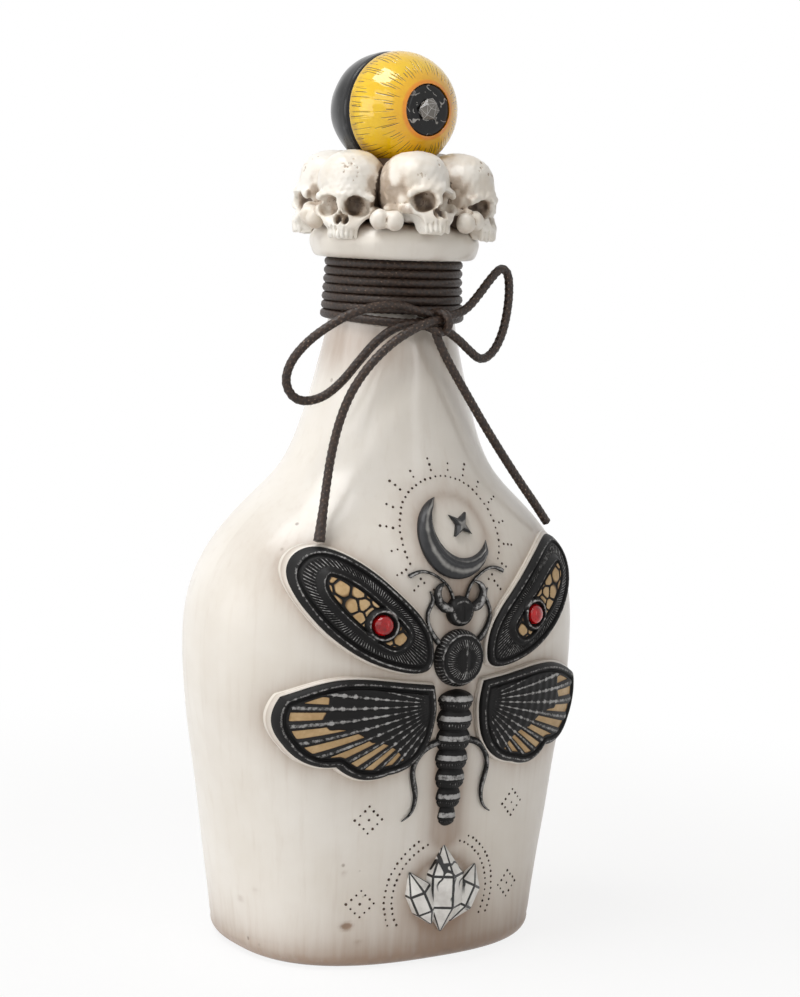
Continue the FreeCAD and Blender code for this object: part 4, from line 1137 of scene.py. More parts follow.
def skull_form(x, y, z):
    """Distance outside a skull that looks along -Y, and outside its mass before the hollows."""
    p = (np.abs(x), y, z)
    form = lump(p, *CRANIUM)
    for shape, sizes, soft in ADDED:
        form = joined(form, shape(p, *sizes), soft)
    mass = form
    form = carved(form, lump(p, (8.1, -3.5, -2.4), (1.8, 3.0, 2.5)), 0.9)
    form = carved(form, lump(p, (5.4, -4.3, -8.9), (2.3, 4.0, 2.4)), 0.7)
    c, s = cos_sin(SOCKET_LEAN)
    aside, above = p[0] - SOCKET_PLACE[0], z - SOCKET_PLACE[1]
    tilted = (aside * c - above * s, y, aside * s + above * c)
    form = carved(form, lump(tilted, (0, -8.0, 0), (2.65, 3.9, 2.2), 2.7), 0.4)
    form = carved(form, lump(p, (0.85, -8.9, -7.05), (0.85, 2.3, 1.2)), 0.25)
    form = carved(form, lump(p, (0, -8.9, -6.0), (0.5, 2.2, 0.85)), 0.25)
    for place in TEETH:
        c, s = cos_sin(place)
        tooth = (TOOTH_REACH * s, JAW_MIDDLE - TOOTH_REACH * c, -9.9)
        form = joined(form, lump(p, tooth, (0.5, 0.55, 1.35)), 0.12)
        c, s = cos_sin(place + TOOTH_HALF)
        cleft = (CLEFT_REACH * s, JAW_MIDDLE - CLEFT_REACH * c, -9.7)
        form = carved(form, lump(p, cleft, (0.2, 0.5, 1.3)), 0.15)
    form = carved(form, lump(p, (0, -4.2, -11.3), (2.3, 2.6, 1.6)), 0.4)
    return form, mass


def crack(rng):
    """Small pits in a loose jagged row on the forehead, as places and sizes."""
    side, rise = rng.uniform(-5.0, 4.0), rng.uniform(1.2, 5.0)
    heading = rng.uniform(-0.9, 0.9)
    ahead = np.arange(-10.5, 0, 0.05)
    pits = []
    for _ in range(rng.integers(2, 6)):
        form = skull_form(np.full(ahead.shape, side), ahead, np.full(ahead.shape, rise))[0]
        pits.append(((side, ahead[np.argmax(form < 0)], rise), rng.uniform(0.12, 0.30)))
        heading += rng.uniform(-0.9, 0.9)
        stride = rng.uniform(0.6, 1.3)
        side += stride * math.cos(heading)
        rise += stride * math.sin(heading)
    return pits


def own_axes(x, y, z, turn, nod):
    """Places on the ring as the skull itself has them, before its turn and nod."""
    c, s = cos_sin(turn)
    own_x = c * x + s * (y + RING_RADIUS)
    level_y = c * (y + RING_RADIUS) - s * x
    c, s = cos_sin(nod)
    return own_x, c * level_y - s * (z - SKULL_HEIGHT), s * level_y + c * (z - SKULL_HEIGHT)


def sculpted(place, turn, nod):
    """One skull in its place on the ring."""
    rng = np.random.default_rng(40 + place)
    x, y, z = block(SKULL_LOW, SKULL_HIGH)
    own_x, own_y, own_z = own_axes(x, y, z, turn, nod)
    spots = np.stack([own_x, own_y, own_z], -1)
    form, mass = skull_form(own_x + 0.10 * noise_at(spots, 9.0, 60 + place, 5), own_y, own_z)
    rough = step(own_z, 2.5, -1.5) * step(own_z, -6.0, -2.5) * step(own_y, -3.0, -6.0)
    form += (0.04 + 0.05 * rough) * noise_at(spots, 1.7, 70 + place, 7)
    form += 0.07 * noise_at(spots, 4.5, 80 + place, 6)
    pits = crack(rng) + crack(rng) + crack(rng)
    for centre, radius in pits:
        near = (np.abs(own_x - centre[0]) < 1.2) & (np.abs(own_z - centre[2]) < 1.2) & (own_y < 0)
        pit = np.linalg.norm(spots[near] - centre, axis=-1) - radius
        form[near] = carved(form[near], pit, 0.18)
    wedge = np.abs(x) * math.cos(math.pi / 6) + y * 0.5 - SKULL_OVERLAP
    to_eye = np.sqrt(x ** 2 + y ** 2 + (z - EYE_HEIGHT) ** 2)
    held = np.maximum(under_collar(x, y, z), EYE_RADIUS + 0.1 - to_eye)
    form = np.maximum(np.maximum(form, held), wedge)
    points, faces = net(form, SKULL_LOW, PITCH)
    next_x, next_y = RING_RADIUS * math.sin(math.pi / 3), -RING_RADIUS * math.cos(math.pi / 3)
    beside = np.sqrt((np.abs(x) - next_x) ** 2 + (y - next_y) ** 2 + (z - SKULL_HEIGHT) ** 2) - SKULL_HALF
    # The collar, the eye and the next skulls count as solid here, so the crevice mask below also darkens
    # where the skull meets them: painted shade.
    crowd = np.clip(0.5 + np.maximum(np.maximum(-form, held), -beside) / PITCH, 0, 1)
    at = cell_of(points, SKULL_LOW, form)
    close = blurred(crowd, max(1, round(0.55 / PITCH)))[at]
    wide = blurred(crowd, max(2, round(1.5 / PITCH)))[at]
    cavity = step(close, 0.52, 0.80) * 0.65 + step(wide, 0.50, 0.80) * 0.65
    # Painted shade: the sides, back and lower part of each skull and its places beside the neighbours are
    # darker, mottled by noise, and convex edges get a little less.
    painted_shade = 0.22 * step(noise_at(points, 6.0, 95 + place, 7), 0.2, 1.4) * step(own_y[at], -7.5, -3.0)
    sideways = step(np.abs(own_x[at]), 3.8, 7.4) * step(own_z[at], 6.0, -2.5)
    blotch = noise_at(points, 3.4, 97 + place, 7)
    painted_shade += (0.58 + 0.22 * blotch) * sideways + 0.14 * step(own_z[at], -3.0, -8.0)
    painted_shade += 0.30 * step(own_y[at], -3.0, 2.0) + 0.08 * blotch - step(close, 0.45, 0.25) * 0.2
    painted_shade = np.minimum(painted_shade + (0.5 + 0.2 * blotch) * step(beside[at], 4.8, 0.4), 0.66)
    # Painted shade where the skull meets its neighbours.
    cavity += 0.45 * step(beside[at], 0.7, -0.3)
    cavity = np.maximum(painted_shade, cavity + 0.4 * painted_shade)
    socket = step(-mass[at], 0.0, 1.8) * step(own_y[at], 0.0, -2.5)
    cavity = np.maximum(cavity, socket * (0.84 + 0.12 * blotch))
    for centre, radius in pits:
        gap = np.linalg.norm(spots[at] - centre, axis=1)
        cavity = np.maximum(cavity, 0.66 * step(gap, radius + 0.2, radius))
    number = place + 1
    points = turned(points, place * 60 + RING_TURN)
    made = piece("ivory_skull_%d" % number, points, faces, bone, {"cavity": cavity})
    wears(outward(made), "stopper", "bone", "skull_%d" % number)


for place, (turn, nod) in enumerate(zip(SKULL_TURNS, SKULL_NODS)):
    sculpted(place, turn, nod)

# %% [markdown]
# ## Bones between the skulls
# The end of a long bone pokes out of each gap: two smooth knuckles with a dark cleft between them.
# They are sculpted like the skulls, once for each gap, with a small tilt of their own.

# %% Bones
KNUCKLE_REACH = 20.0
KNUCKLE_HEIGHT = 162.9
BONE_TURN = 9.0
BONE_LOW = np.array((-5.6, -23.4, 159.0))
BONE_HIGH = np.array((5.6, -8.6, 167.0))
bone_points, bone_faces, bone_masks = [], [], []
rng = np.random.default_rng(5)
for gap in range(6):
    x, y, z = block(BONE_LOW, BONE_HIGH)
    tilt = rng.uniform(-0.25, 0.25)
    across = x * math.cos(tilt) + (z - KNUCKLE_HEIGHT) * math.sin(tilt)
    rise = (z - KNUCKLE_HEIGHT) * math.cos(tilt) - x * math.sin(tilt)
    p = (np.abs(across), y, rise)
    form = lump(p, (1.7, -KNUCKLE_REACH, 0), (2.0, 2.2, 2.25))
    form = joined(form, rod(p, (0, -19.6, 0), (0, -9.0, 0.4), 1.8, 1.5), 0.7)
    form = carved(form, lump(p, (0, -22.5, 0.1), (0.35, 1.2, 1.8)), 0.5)
    spots = np.stack([x, y, z], -1)
    form += 0.06 * noise_at(spots, 2.6, 90 + gap, 6)
    held = under_collar(x, y, z)
    form = np.maximum(form, held)
    points, faces = net(form, BONE_LOW, PITCH)
    crowd = np.clip(0.5 + np.maximum(-form, held) / PITCH, 0, 1)
    at = cell_of(points, BONE_LOW, form)
    close = blurred(crowd, max(1, round(0.6 / PITCH)))[at]
    # Painted shade: darker below the knuckles and along the shaft further in between the skulls, and the
    # collar counts as solid in the crevice mask above.
    under = 0.22 + 0.3 * step(points[:, 2], KNUCKLE_HEIGHT, KNUCKLE_HEIGHT - 2.4)
    bone_masks.append(step(close, 0.52, 0.78) + step(-points[:, 1], 19.2, 17.6) * 0.8 + under)
    bone_faces.append(faces + sum(len(p) for p in bone_points))
    bone_points.append(turned(points, gap * 60 + 30 + RING_TURN + BONE_TURN))
made = piece("ivory_bones", np.vstack(bone_points), np.vstack(bone_faces), bone,
             {"cavity": np.concatenate(bone_masks)})
wears(outward(made), "stopper", "bone", "stopper_bones")

# %% [markdown]
# ## Collar
# The collar under the skulls is a thick soft-edged disc of the bottle's resin. It is turned from a
# rounded outline, with a socket below for the cork, and it dips and swells a little as poured
# resin does. Its top under the skulls is darker brown, wash and painted shade, and its underside
# is painted darker as shade.

# %% Collar
COLLAR_SIDE = ((16.8, 154.2), (18.0, 154.6), (18.8, 156.0), (19.1, 158.0), (18.55, 159.55),
               (17.42, 160.87), (15.6, 161.8), (13.5, 162.1))
COLLAR_COLUMNS = 220
SMALLEST_RING = 0.05
side_rows = natural_spline(COLLAR_SIDE, 46)
under = [(SMALLEST_RING, 157.3), (9.9, 157.3), (10.0, 157.1), (10.0, 154.5), (10.3, 154.2), (15.9, 154.2)]
outline = np.vstack([under, side_rows, [(10.0, 162.1), (5.0, 162.1), (SMALLEST_RING, 162.1)]])
angle = round_angles(COLLAR_COLUMNS)
turned_rows = np.stack([outline[:, :1] * np.cos(angle), outline[:, :1] * np.sin(angle),
                        np.repeat(outline[:, 1:], COLLAR_COLUMNS, 1)], -1)
bulge = 0.14 * noise_at(turned_rows, 15.0, 21) + 0.04 * noise_at(turned_rows, 5.0, 22) - 0.12
bulge *= step(np.arange(len(outline)), 7, 14)[:, None] * step(np.arange(len(outline)), 51, 44)[:, None]
turned_rows[..., :2] *= 1 + (bulge / np.maximum(outline[:, :1], 1))[..., None]
level = turned_rows[..., 2]
# Painted shade with some wash: darker brown at the top under the skulls and on the underside.
collar_wash_and_shade = 0.75 * step(level, 159.6, 161.6) + 0.35 * step(level, 156.0, 154.4)
collar_wash_and_shade += 0.12 * noise_at(turned_rows, 9.0, 23)
collar = grid_piece("resin_collar", turned_rows, resin, {"stain": np.clip(collar_wash_and_shade, 0, 1)})
wears(outward(collar), "stopper", "resin", "stopper_collar")

# %% [markdown]
# ## Eyeball
# The front half is a glossy yellow dome. Fine black lines were scratched into it, some from the rim
# inwards and some round the pupil, where the yellow turns to orange. The lines are real grooves in
# a fine grid of rings, and a mask keeps their dark paint. The back half is a black glossy cup with
# a deep groove where the two halves meet.

# %% Eye front
EYE_CENTRE = np.array((0.0, 0.0, EYE_HEIGHT))
PUPIL_RADIUS = 5.7
PUPIL_FLOOR = 10.4
EYE_COLUMNS = 900
SCRATCHES = ((96, (84, 90), (54, 80)), (66, (45, 61), (31, 38)))


def about_eye(reach, ahead):
    """Rings about the eye's line of sight, from their radius and their distance ahead of its centre."""
    angle = round_angles(EYE_COLUMNS)
    reach, ahead = (np.broadcast_to(v, (len(v), EYE_COLUMNS)) for v in (reach, ahead))
    return EYE_CENTRE + np.stack([reach * np.cos(angle), -ahead, reach * np.sin(angle)], -1)


def scratch_lines(polar, angle, rng):
    """Depth of the scratched lines, 0 to 1, over the dome."""
    depth = np.zeros(polar.shape)
    starts = []
    for count, outer, inner in SCRATCHES:
        starts += [(i * 360 / count, rng.uniform(*outer), rng.uniform(*inner)) for i in range(count)]
    for place, outer, inner in starts:
        place += rng.uniform(-2.2, 2.2)
        bend = rng.uniform(-1.2, 1.2)
        along = (outer - polar) / (outer - inner)
        drift = place + bend * along + 0.15 * np.sin(along * rng.uniform(4, 9) + place)
        apart = (np.degrees(angle) - drift + 180) % 360 - 180
        apart = np.radians(apart) * EYE_RADIUS * np.sin(np.radians(polar))
        shown = step(along, -0.05, 0.08) * step(along, 1.05, 0.65) * rng.uniform(0.45, 1.0)
        depth = np.maximum(depth, shown * np.exp(-(apart / rng.uniform(0.07, 0.12)) ** 2))
    return depth


rng = np.random.default_rng(8)
edge = math.degrees(math.asin(PUPIL_RADIUS / EYE_RADIUS))
polar = np.linspace(90, edge, 88)[:, None] * np.ones((1, EYE_COLUMNS))
angle = round_angles(EYE_COLUMNS)[None]
lines = scratch_lines(polar, angle, rng)
radius = EYE_RADIUS - 0.11 * lines - 0.012 * (1 - noise_at(about_eye(polar[:, :1], polar[:, :1]), 8.0, 31))
dome = about_eye(radius * np.sin(np.radians(polar)), radius * np.cos(np.radians(polar)))
hidden_line = np.array(((SMALLEST_RING, 0.0), (11.0, 0.0), (12.6, 0.0)))
well_line = np.array(((PUPIL_RADIUS, 11.3), (PUPIL_RADIUS, PUPIL_FLOOR), (SMALLEST_RING, PUPIL_FLOOR)))
hidden, well = (about_eye(line[:, :1], line[:, 1:]) for line in (hidden_line, well_line))
shell = np.vstack([hidden, dome, well])


def eye_mask(values, behind, inside):
    return np.vstack([np.full((3, EYE_COLUMNS), behind), values, np.full((3, EYE_COLUMNS), inside)])


# Painted shade: the dome's low side and its rim, the hidden back and the pupil's well are painted a darker
# mottled brown.
low_side = step(-np.sin(angle) * np.sin(np.radians(polar)), 0.35, 0.95)
masks = {
    "line": eye_mask(lines, 0.0, 0.0),
    "orange": eye_mask(0.35 * step(polar, 52.0, 32.0) + 0.65 * step(polar, 31.5, 28.5), 0.0, 1.0),
    "shade": eye_mask(0.6 * low_side + 0.55 * step(polar, 66, 88), 1.0, 1.0),
}
eye_paint = Finish("yellow_eye", coat_weight=0.65, coat_roughness=0.04, coat_ior=1.75,
                   specular_ior_level=0.1)
mottle = eye_paint.noise(300, 4.0, 0.6)
smear = eye_paint.noise(90, 3.0)
streak = eye_paint.mask("line")
yellow = eye_paint.mix(smear.between(0.3, 0.7), tint(247, 206, 12), tint(242, 194, 8))
yellow = eye_paint.mix(eye_paint.mask("orange"), yellow, tint(244, 150, 0))
low_shade = (eye_paint.mask("shade") * 0.7 + (mottle - 0.5) * 0.9) * eye_paint.mask("shade").between(0.05, 0.6)
yellow = eye_paint.mix(low_shade.between(0.05, 0.75) * 0.75, yellow, tint(150, 108, 34))
inked = (streak + (mottle - 0.5) * 0.5 * streak).between(0.18, 0.6)
eye_paint.paint("Base Color", eye_paint.mix(inked * 0.9, yellow, tint(48, 34, 16)))
eye_paint.paint("Roughness", 0.16 + smear * 0.1 + inked * 0.2)
eye_paint.bump(smear * 0.6 + mottle * 0.4, 0.04, 0.25)
front = grid_piece("eye_front", shell, eye_paint, masks)
wears(outward(front), "stopper", "eye_yellow", "eye_front_dome")

# %% Eye back
black_gloss = Finish("black_gloss", coat_weight=0.35, coat_roughness=0.1, specular_ior_level=0.25)
brushed = black_gloss.noise(70, 3.0)
dust = black_gloss.noise(500, 3.0).between(0.58, 0.75)
soot = black_gloss.mix(brushed, tint(10, 10, 11), tint(25, 25, 27))
black_gloss.paint("Base Color", black_gloss.mix(dust * 0.35, soot, tint(80, 80, 82)))
black_gloss.paint("Roughness", 0.2 + brushed * 0.16 + dust * 0.15)
black_gloss.bump(brushed + dust * 0.3, 0.15, 0.4)

BACK_STAND_OFF = 4.3
GROOVE_ROWS = 20
LIP = ((11.9, 0.25), (11.75, 0.9), (12.0, 1.5), (12.6, 1.9), (12.95, 2.6), (13.0, 3.4), (13.0, 4.3))
lip = natural_spline(LIP, 34)
back_angle = np.linspace(0, math.pi / 2, 46)[1:]
bowl = np.stack([EYE_RADIUS * np.cos(back_angle), BACK_STAND_OFF + EYE_RADIUS * np.sin(back_angle)], -1)
bowl[-1, 0] = SMALLEST_RING
cup_line = np.vstack([[(SMALLEST_RING, 0.01), (10.6, 0.01), (11.3, 0.05)], lip, bowl])
cup = about_eye(cup_line[:, :1], -cup_line[:, 1:])[:, ::4]
dent = 0.05 * noise_at(cup, 6.0, 33) + 0.07 * noise_at(cup, 16.0, 34) - 0.13
outer = (np.arange(len(cup_line)) >= GROOVE_ROWS)[:, None, None]
away = cup - EYE_CENTRE
cup = cup + outer * dent[..., None] * away / np.linalg.norm(away, axis=-1, keepdims=True)
back = grid_piece("eye_back", cup, black_gloss)
wears(outward(back), "stopper", "eye_black", "eye_back_cup")

# %% [markdown]
# ## Pupil and its stone
# The pupil is a black disc with pale scratches, let into the dome, and a rough clear stone is glued
# on it. The stone is the tight hull of a few scattered points, so it has flat facets of many sizes.

# %% Pupil and stone
pupil_finish = Finish("scratched_black", coat_weight=0.3, coat_roughness=0.1, specular_ior_level=0.2)
curl = pupil_finish.noise(260, 2.0, 0.5)
thread = curl.between(0.478, 0.496) - curl.between(0.504, 0.522)
broken = pupil_finish.noise(420, 2.0).between(0.46, 0.56)
scuff = (thread * broken).between(0.2, 0.8)
pupil_finish.paint("Base Color", pupil_finish.mix(scuff * 0.75, tint(9, 8, 8), tint(205, 203, 200)))
pupil_finish.paint("Roughness", 0.16 + broken * 0.2)
pupil_finish.bump(curl, 0.3, 0.5)

GEM_RINGS = ((2.6, 11.75, 7), (2.68, 12.4, 6), (1.9, 13.3, 5), (0.7, 13.7, 2))
GEM_BORDER = 0.14
disc_line = np.array((
    (SMALLEST_RING, 10.5), (5.4, 10.5), (5.58, 10.7), (5.58, 11.3), (5.4, 11.52), (4.6, 11.6),
    (3.0, 11.66), (1.5, 11.7), (SMALLEST_RING, 11.7),
))
disc_rows = about_eye(disc_line[:, :1], disc_line[:, 1:])[:, ::5]
disc = grid_piece("pupil_plate", disc_rows, pupil_finish)
wears(outward(disc), "stopper", "eye_black", "pupil_disc")


def faceted(name, finish, hulls, border, rise):
    """Closed hulls of points in millimetres, with a raised field on every facet.

    The mask "edge" is 1 along the facets' edges and 0 on the fields."""
    work = bmesh.new()
    for corners in hulls:
        added = [work.verts.new([v * MM for v in corner]) for corner in corners]
        hull = bmesh.ops.convex_hull(work, input=added)
        spare = [v for v in hull["geom_interior"] if isinstance(v, bmesh.types.BMVert)]
        bmesh.ops.delete(work, geom=spare, context="VERTS")
    bmesh.ops.dissolve_limit(work, angle_limit=math.radians(2), verts=work.verts, edges=work.edges)
    bmesh.ops.recalc_face_normals(work, faces=work.faces)
    mask = work.verts.layers.float.new("edge")
    rims = set(work.verts)
    bmesh.ops.inset_individual(work, faces=list(work.faces), thickness=border * MM, depth=rise * MM)
    for vert in work.verts:
        vert[mask] = float(vert in rims)
    bmesh.ops.triangulate(work, faces=[face for face in work.faces if len(face.verts) > 4])
    mesh = bpy.data.meshes.new(name)
    work.to_mesh(mesh)
    work.free()
    mesh.materials.append(finish.material)
    return outward(placed(name, mesh))


# Painted: the grey of this clear stone stands for the dark pupil seen through it, and its white edges are a
# painted highlight.
clear = Finish("clear_stone", transmission_weight=0.4, ior=1.45, specular_ior_level=0.5)
flaw = clear.noise(260, 2.0)
frost_and_edge_glint = clear.mask("edge").between(0.25, 0.8)
glassy = clear.mix(flaw.between(0.4, 0.75), tint(150, 146, 140), tint(112, 107, 101))
clear.paint("Base Color", clear.mix(frost_and_edge_glint, glassy, tint(246, 246, 246)))
clear.paint("Roughness", 0.03 + frost_and_edge_glint * 0.35)
clear.bump(flaw, 0.05, 0.2)
rng = np.random.default_rng(17)
corners = []
for ring_radius, ahead, count in GEM_RINGS:
    for i in range(count):
        spot = 2 * math.pi * (i + rng.uniform(-0.3, 0.3)) / count
        reach = ring_radius * rng.uniform(0.84, 1.0)
        lift = ahead + rng.uniform(-0.12, 0.08) * (ahead > 12)
        corners.append(EYE_CENTRE + (reach * math.cos(spot), -lift, reach * math.sin(spot)))
wears(faceted("rough_stone", clear, [corners], GEM_BORDER, 0.0), "stopper", "clear_stone", "pupil_gem")

# %% [markdown]
# ## Cork and core
# Two solids already have the right shape and mostly hide: the cork in the bore and the post inside
# the ring of skulls, painted dark brown as painted shade. They stay, with a grain of their own.

# %% Cork and core
cork = Finish("pressed_cork", specular_ior_level=0.3)
granule = cork.cells(420)
pore = cork.cells(150).between(0.22, 0.1) * cork.noise(90, 2.0).between(0.48, 0.6)
tan = cork.mix(granule.between(0.1, 0.7), tint(206, 162, 112), tint(170, 122, 78))
cork.paint("Base Color", cork.mix(pore, tan, tint(92, 60, 36)))
cork.paint("Roughness", 0.68 + granule * 0.2)
cork.bump(granule - pore * 1.5, 0.35, 0.7)
# Painted shade: the post between the skulls is painted dark brown in place of the shade there.
crevice = Finish("shaded_core", specular_ior_level=0.2)
core_mottle = crevice.noise(240, 3.0)
crevice.paint("Base Color", crevice.mix(core_mottle.between(0.3, 0.7), tint(112, 94, 79), tint(150, 129, 110)))
crevice.paint("Roughness", 0.6 + core_mottle * 0.2)
crevice.bump(core_mottle, 0.2, 0.5)
for node, finish in (("cork_plug", cork), ("stopper_core", crevice)):
    for slot in bpy.data.objects[node].material_slots:
        slot.material = finish.material
    print(node, "wears", finish.material.name)

# %% [markdown]
# ## Relief paint
# The reliefs were painted black, then brushed almost dry with silver, so that only what stands
# proud caught it. Small panes are filled with tan. Both come from masks that each relief writes on
# its points while its shape is worked out, and noise breaks the brush strokes up.

# %% Relief paint
relief = Finish("black_relief", specular_ior_level=0.2)
drag = relief.noise(1300, 3.0, 0.65)
blotch = relief.noise(150, 3.0)
silver = relief.mask("silver") * (0.35 + blotch * 1.1)
silver = (silver + (drag - 0.5) * 1.5 * relief.mask("silver").between(0.02, 0.3)).between(0.40, 1.0)
pane = relief.mask("tan").between(0.3, 0.7)
soot = relief.mix(blotch, tint(12, 11, 11), tint(27, 26, 26))
ochre = relief.mix((blotch + drag * 0.4).between(0.45, 0.95), tint(216, 188, 146), tint(190, 158, 114))
ochre = relief.mix(relief.mask("tan").between(0.6, 1.0), tint(142, 112, 78), ochre)
painted = relief.mix(pane, soot, ochre)
relief.paint("Base Color", relief.mix(silver * 0.85, painted, tint(176, 175, 174)))
relief.paint("Metallic", silver * 0.45)
relief.paint("Roughness", 0.46 - silver * 0.1 + drag * 0.12 - pane * 0.1)
relief.bump(drag * 0.5 + blotch * 0.3, 0.12, 0.5)
print("relief nodes:", len(relief.tree.nodes))

# %% [markdown]
# ## Sheets over the skin
# A flat outline is filled with rings that shrink towards its middle. Each point gets a height above
# the skin from the pattern, and the skin's own curve does the rest. A wall goes down all round and
# a plain underside, sunk a little into the bottle, closes the form.

# %% Relief sheets
SUNK = -0.7
PLATE = 2.2


def domed(share, power=2.2):
    """Height of a dome: 1 in its middle and 0 at its edge, where the share of its radius is 1."""
    return np.sqrt(np.clip(1 - share ** power, 0, 1))


def rounded_edge(distance, height, radius=0.8):
    """Height that rises over a quarter round from a plate's edge."""
    share = np.clip(distance / radius, 0, 1)
    return height - radius * (1 - np.sqrt(share * (2 - share)))


def filled(line, middle, rings):
    """Points that fill an outline: ring by ring from the edge to the middle."""
    share = np.linspace(1, 0, rings)[:, None, None]
    return np.asarray(middle) + share * (line - middle)


def closed_sheet(flat, lift, masks, side=1):
    """Points and masks of a closed form over the skin, with its wall and underside."""
    under = np.stack([flat[-1], flat[len(flat) // 2], flat[0], flat[0]])
    under_lift = np.stack([np.full(flat.shape[1], SUNK)] * 3 + [lift[0] * 0.5])
    plan = np.vstack([under, flat])
    points = on_skin(plan[..., 0], plan[..., 1], np.vstack([under_lift, lift])) * (side, 1, 1)
    masks = {key: np.vstack([np.zeros((4, flat.shape[1])), value]) for key, value in masks.items()}
    return points, masks


def relief_piece(name, node, slot, finish, flat, lift, masks, side=1):
    points, masks = closed_sheet(flat, lift, masks, side)
    made = grid_piece(name, points, finish, masks)
    wears(outward(made), "bottle", slot, *([node] if node else []))


def relief_pair(name, node, *rest):
    """A relief on the right and its mirror image on the left."""
    for side, hand in ((1, "_right"), (-1, "_left")):
        relief_piece(name + hand, node and node + hand, *rest, side)


def length_along(line):
    return np.arange(len(line)) * np.linalg.norm(np.roll(line, -1, axis=0) - line, axis=1).mean()


print("plate height in mm:", PLATE)

# %% [markdown]
# ## Wing cases
# A wing case has a double beaded rim, a band of fine ribs and a raised panel of tan cells with dark
# veins between them. The cells are nearest-neighbour cells about jittered seeds. A collar of metal
# holds the red stone. Both sides come from one set of heights, mirrored.

# %% Wing cases
STONE = (20.0, 77.5)
STONE_RADIUS = 2.3
STONE_PROUD = 4.6
RIB_SPACING = 0.85
PANEL_SHRUNK = 1.1
CELL_SPACING = 3.1
FIRST_CELL = (5, 66)

flat = filled(wing_case_line, WING_CASE_MIDDLE, 96)
inset = line_distance(flat, wing_case_line)
panel = line_distance(flat, panel_line) * np.where(is_inside(flat, panel_line), 1, -1) - PANEL_SHRUNK
ribs = 0.5 + 0.5 * np.cos(2 * math.pi * length_along(wing_case_line) / RIB_SPACING)[None]
from_stone = away_from(flat, STONE)
rng = np.random.default_rng(3)
seeds = [(FIRST_CELL[0] + CELL_SPACING * (i + 0.5 * (j % 2)), FIRST_CELL[1] + 0.87 * CELL_SPACING * j)
         for i in range(12) for j in range(11)]
seeds = np.array(seeds) + rng.uniform(-0.65, 0.65, (len(seeds), 2))
spread = np.sort(np.linalg.norm(flat[..., None, :] - seeds, axis=-1), axis=-1)[..., :2]
vein = step(spread[..., 1] - spread[..., 0], 0.62, 0.28)
cell_zone = step(panel, 1.35, 1.6) * step(from_stone, 3.7, 4.1)
rib_zone = step(inset, 1.9, 2.3) * step(panel, -0.45, -0.8)

lift = rounded_edge(inset, PLATE)
lift = lift + 0.30 * bell(inset, 0.85, 0.38) - 0.50 * bell(inset, 1.6, 0.24)
lift += 0.30 * ribs * rib_zone - 0.2 * rib_zone
lift += 0.75 * step(panel, -0.5, 0.4) + 0.24 * bell(panel, 0.55, 0.28) - 0.42 * bell(panel, 1.15, 0.2)
lift += cell_zone * (0.10 - 0.30 * vein)
stone_collar = 0.75 * bell(from_stone, 3.05, 0.42) - 0.35 * bell(from_stone, 3.75, 0.25)
lift += stone_collar - 0.3 * step(from_stone, 2.7, 2.4)
rubbed = 0.75 * bell(inset, 0.85, 0.26) + 0.85 * rib_zone * step(ribs, 0.5, 0.98)
rubbed_panel = 0.65 * bell(panel, 0.55, 0.2) + 0.25 * cell_zone * bell(vein, 0.45, 0.2)
rubbed += rubbed_panel + 0.9 * bell(from_stone, 3.05, 0.3)
cells = cell_zone * (1 - vein) * step(spread[..., 0], 2.6, 0.6)
wing_masks = {"silver": np.clip(rubbed, 0, 1), "tan": np.clip(cells * 1.25, 0, 1)}
relief_pair("beaded_wing_case", "wing_case", "relief_black", relief, flat, lift, wing_masks)

# %% [markdown]
# ## Red stones
# Each stone is a high round cabochon of red glass, deep in colour and very glossy, a little lopsided.

# %% Red stones
red = Finish("red_glass", coat_weight=0.45, coat_roughness=0.04, specular_ior_level=0.25)
swirl = red.noise(260, 3.0, 0.6)
red.paint("Base Color", red.mix(swirl.between(0.35, 0.7), tint(192, 8, 14), tint(118, 2, 8)))
red.paint("Roughness", 0.06 + swirl * 0.1)
red.bump(swirl, 0.1, 0.3)
stone_flat = filled(circle_line(STONE, STONE_RADIUS, 64), STONE, 24)
share = away_from(stone_flat, STONE) / STONE_RADIUS
stone_lift = 2.5 + (STONE_PROUD - 2.55) * domed(share) + 0.04 * np.sin(stone_flat[..., 0] * 2)
relief_pair("cabochon", "red_stone", "red_stone", red, stone_flat, stone_lift, {})

# %% [markdown]
# ## Hind wings
# The hind wings are fans. Ribs run out from the root, tan panes sit between them along the scalloped
# rim, and low arcs cross the ribs further in.

# %% Hind wings
FAN_ROOT = np.array((4.6, 59.5))
FAN_STEP = 7.2
ARC_SPACING = 2.3

flat = filled(hind_wing_line, HIND_WING_MIDDLE, 92)
inset = line_distance(flat, hind_wing_line)
away = flat - FAN_ROOT
reach = np.linalg.norm(away, axis=-1)
fan = np.cos(2 * math.pi * np.degrees(np.arctan2(away[..., 1], away[..., 0])) / FAN_STEP)
rib = step(fan, 0.2, 0.85) * step(inset, 1.9, 2.3) * step(reach, 3.0, 7.0)
from_rim = np.linalg.norm(flat[..., None, :] - scalloped_rim()[:160:4], axis=-1).min(-1)
pane_zone = step(inset, 2.3, 2.6) * step(from_rim, 8.6, 8.2) * step(reach, 12.0, 14.0)
panes = pane_zone * step(-fan, -0.05, 0.3)
inner_zone = step(from_rim, 8.6, 9.0) * step(inset, 2.2, 2.6) * step(reach, 4.0, 6.0)
arcs = 0.5 + 0.5 * np.cos(2 * math.pi * reach / ARC_SPACING)
lift = rounded_edge(inset, PLATE) + 0.30 * bell(inset, 0.95, 0.42) - 0.5 * bell(inset, 1.75, 0.25)
lift += 0.28 * rib + 0.12 * arcs * inner_zone - 0.28 * panes
rubbed = 0.75 * bell(inset, 0.9, 0.28) + 0.75 * rib * step(fan, 0.55, 0.97)
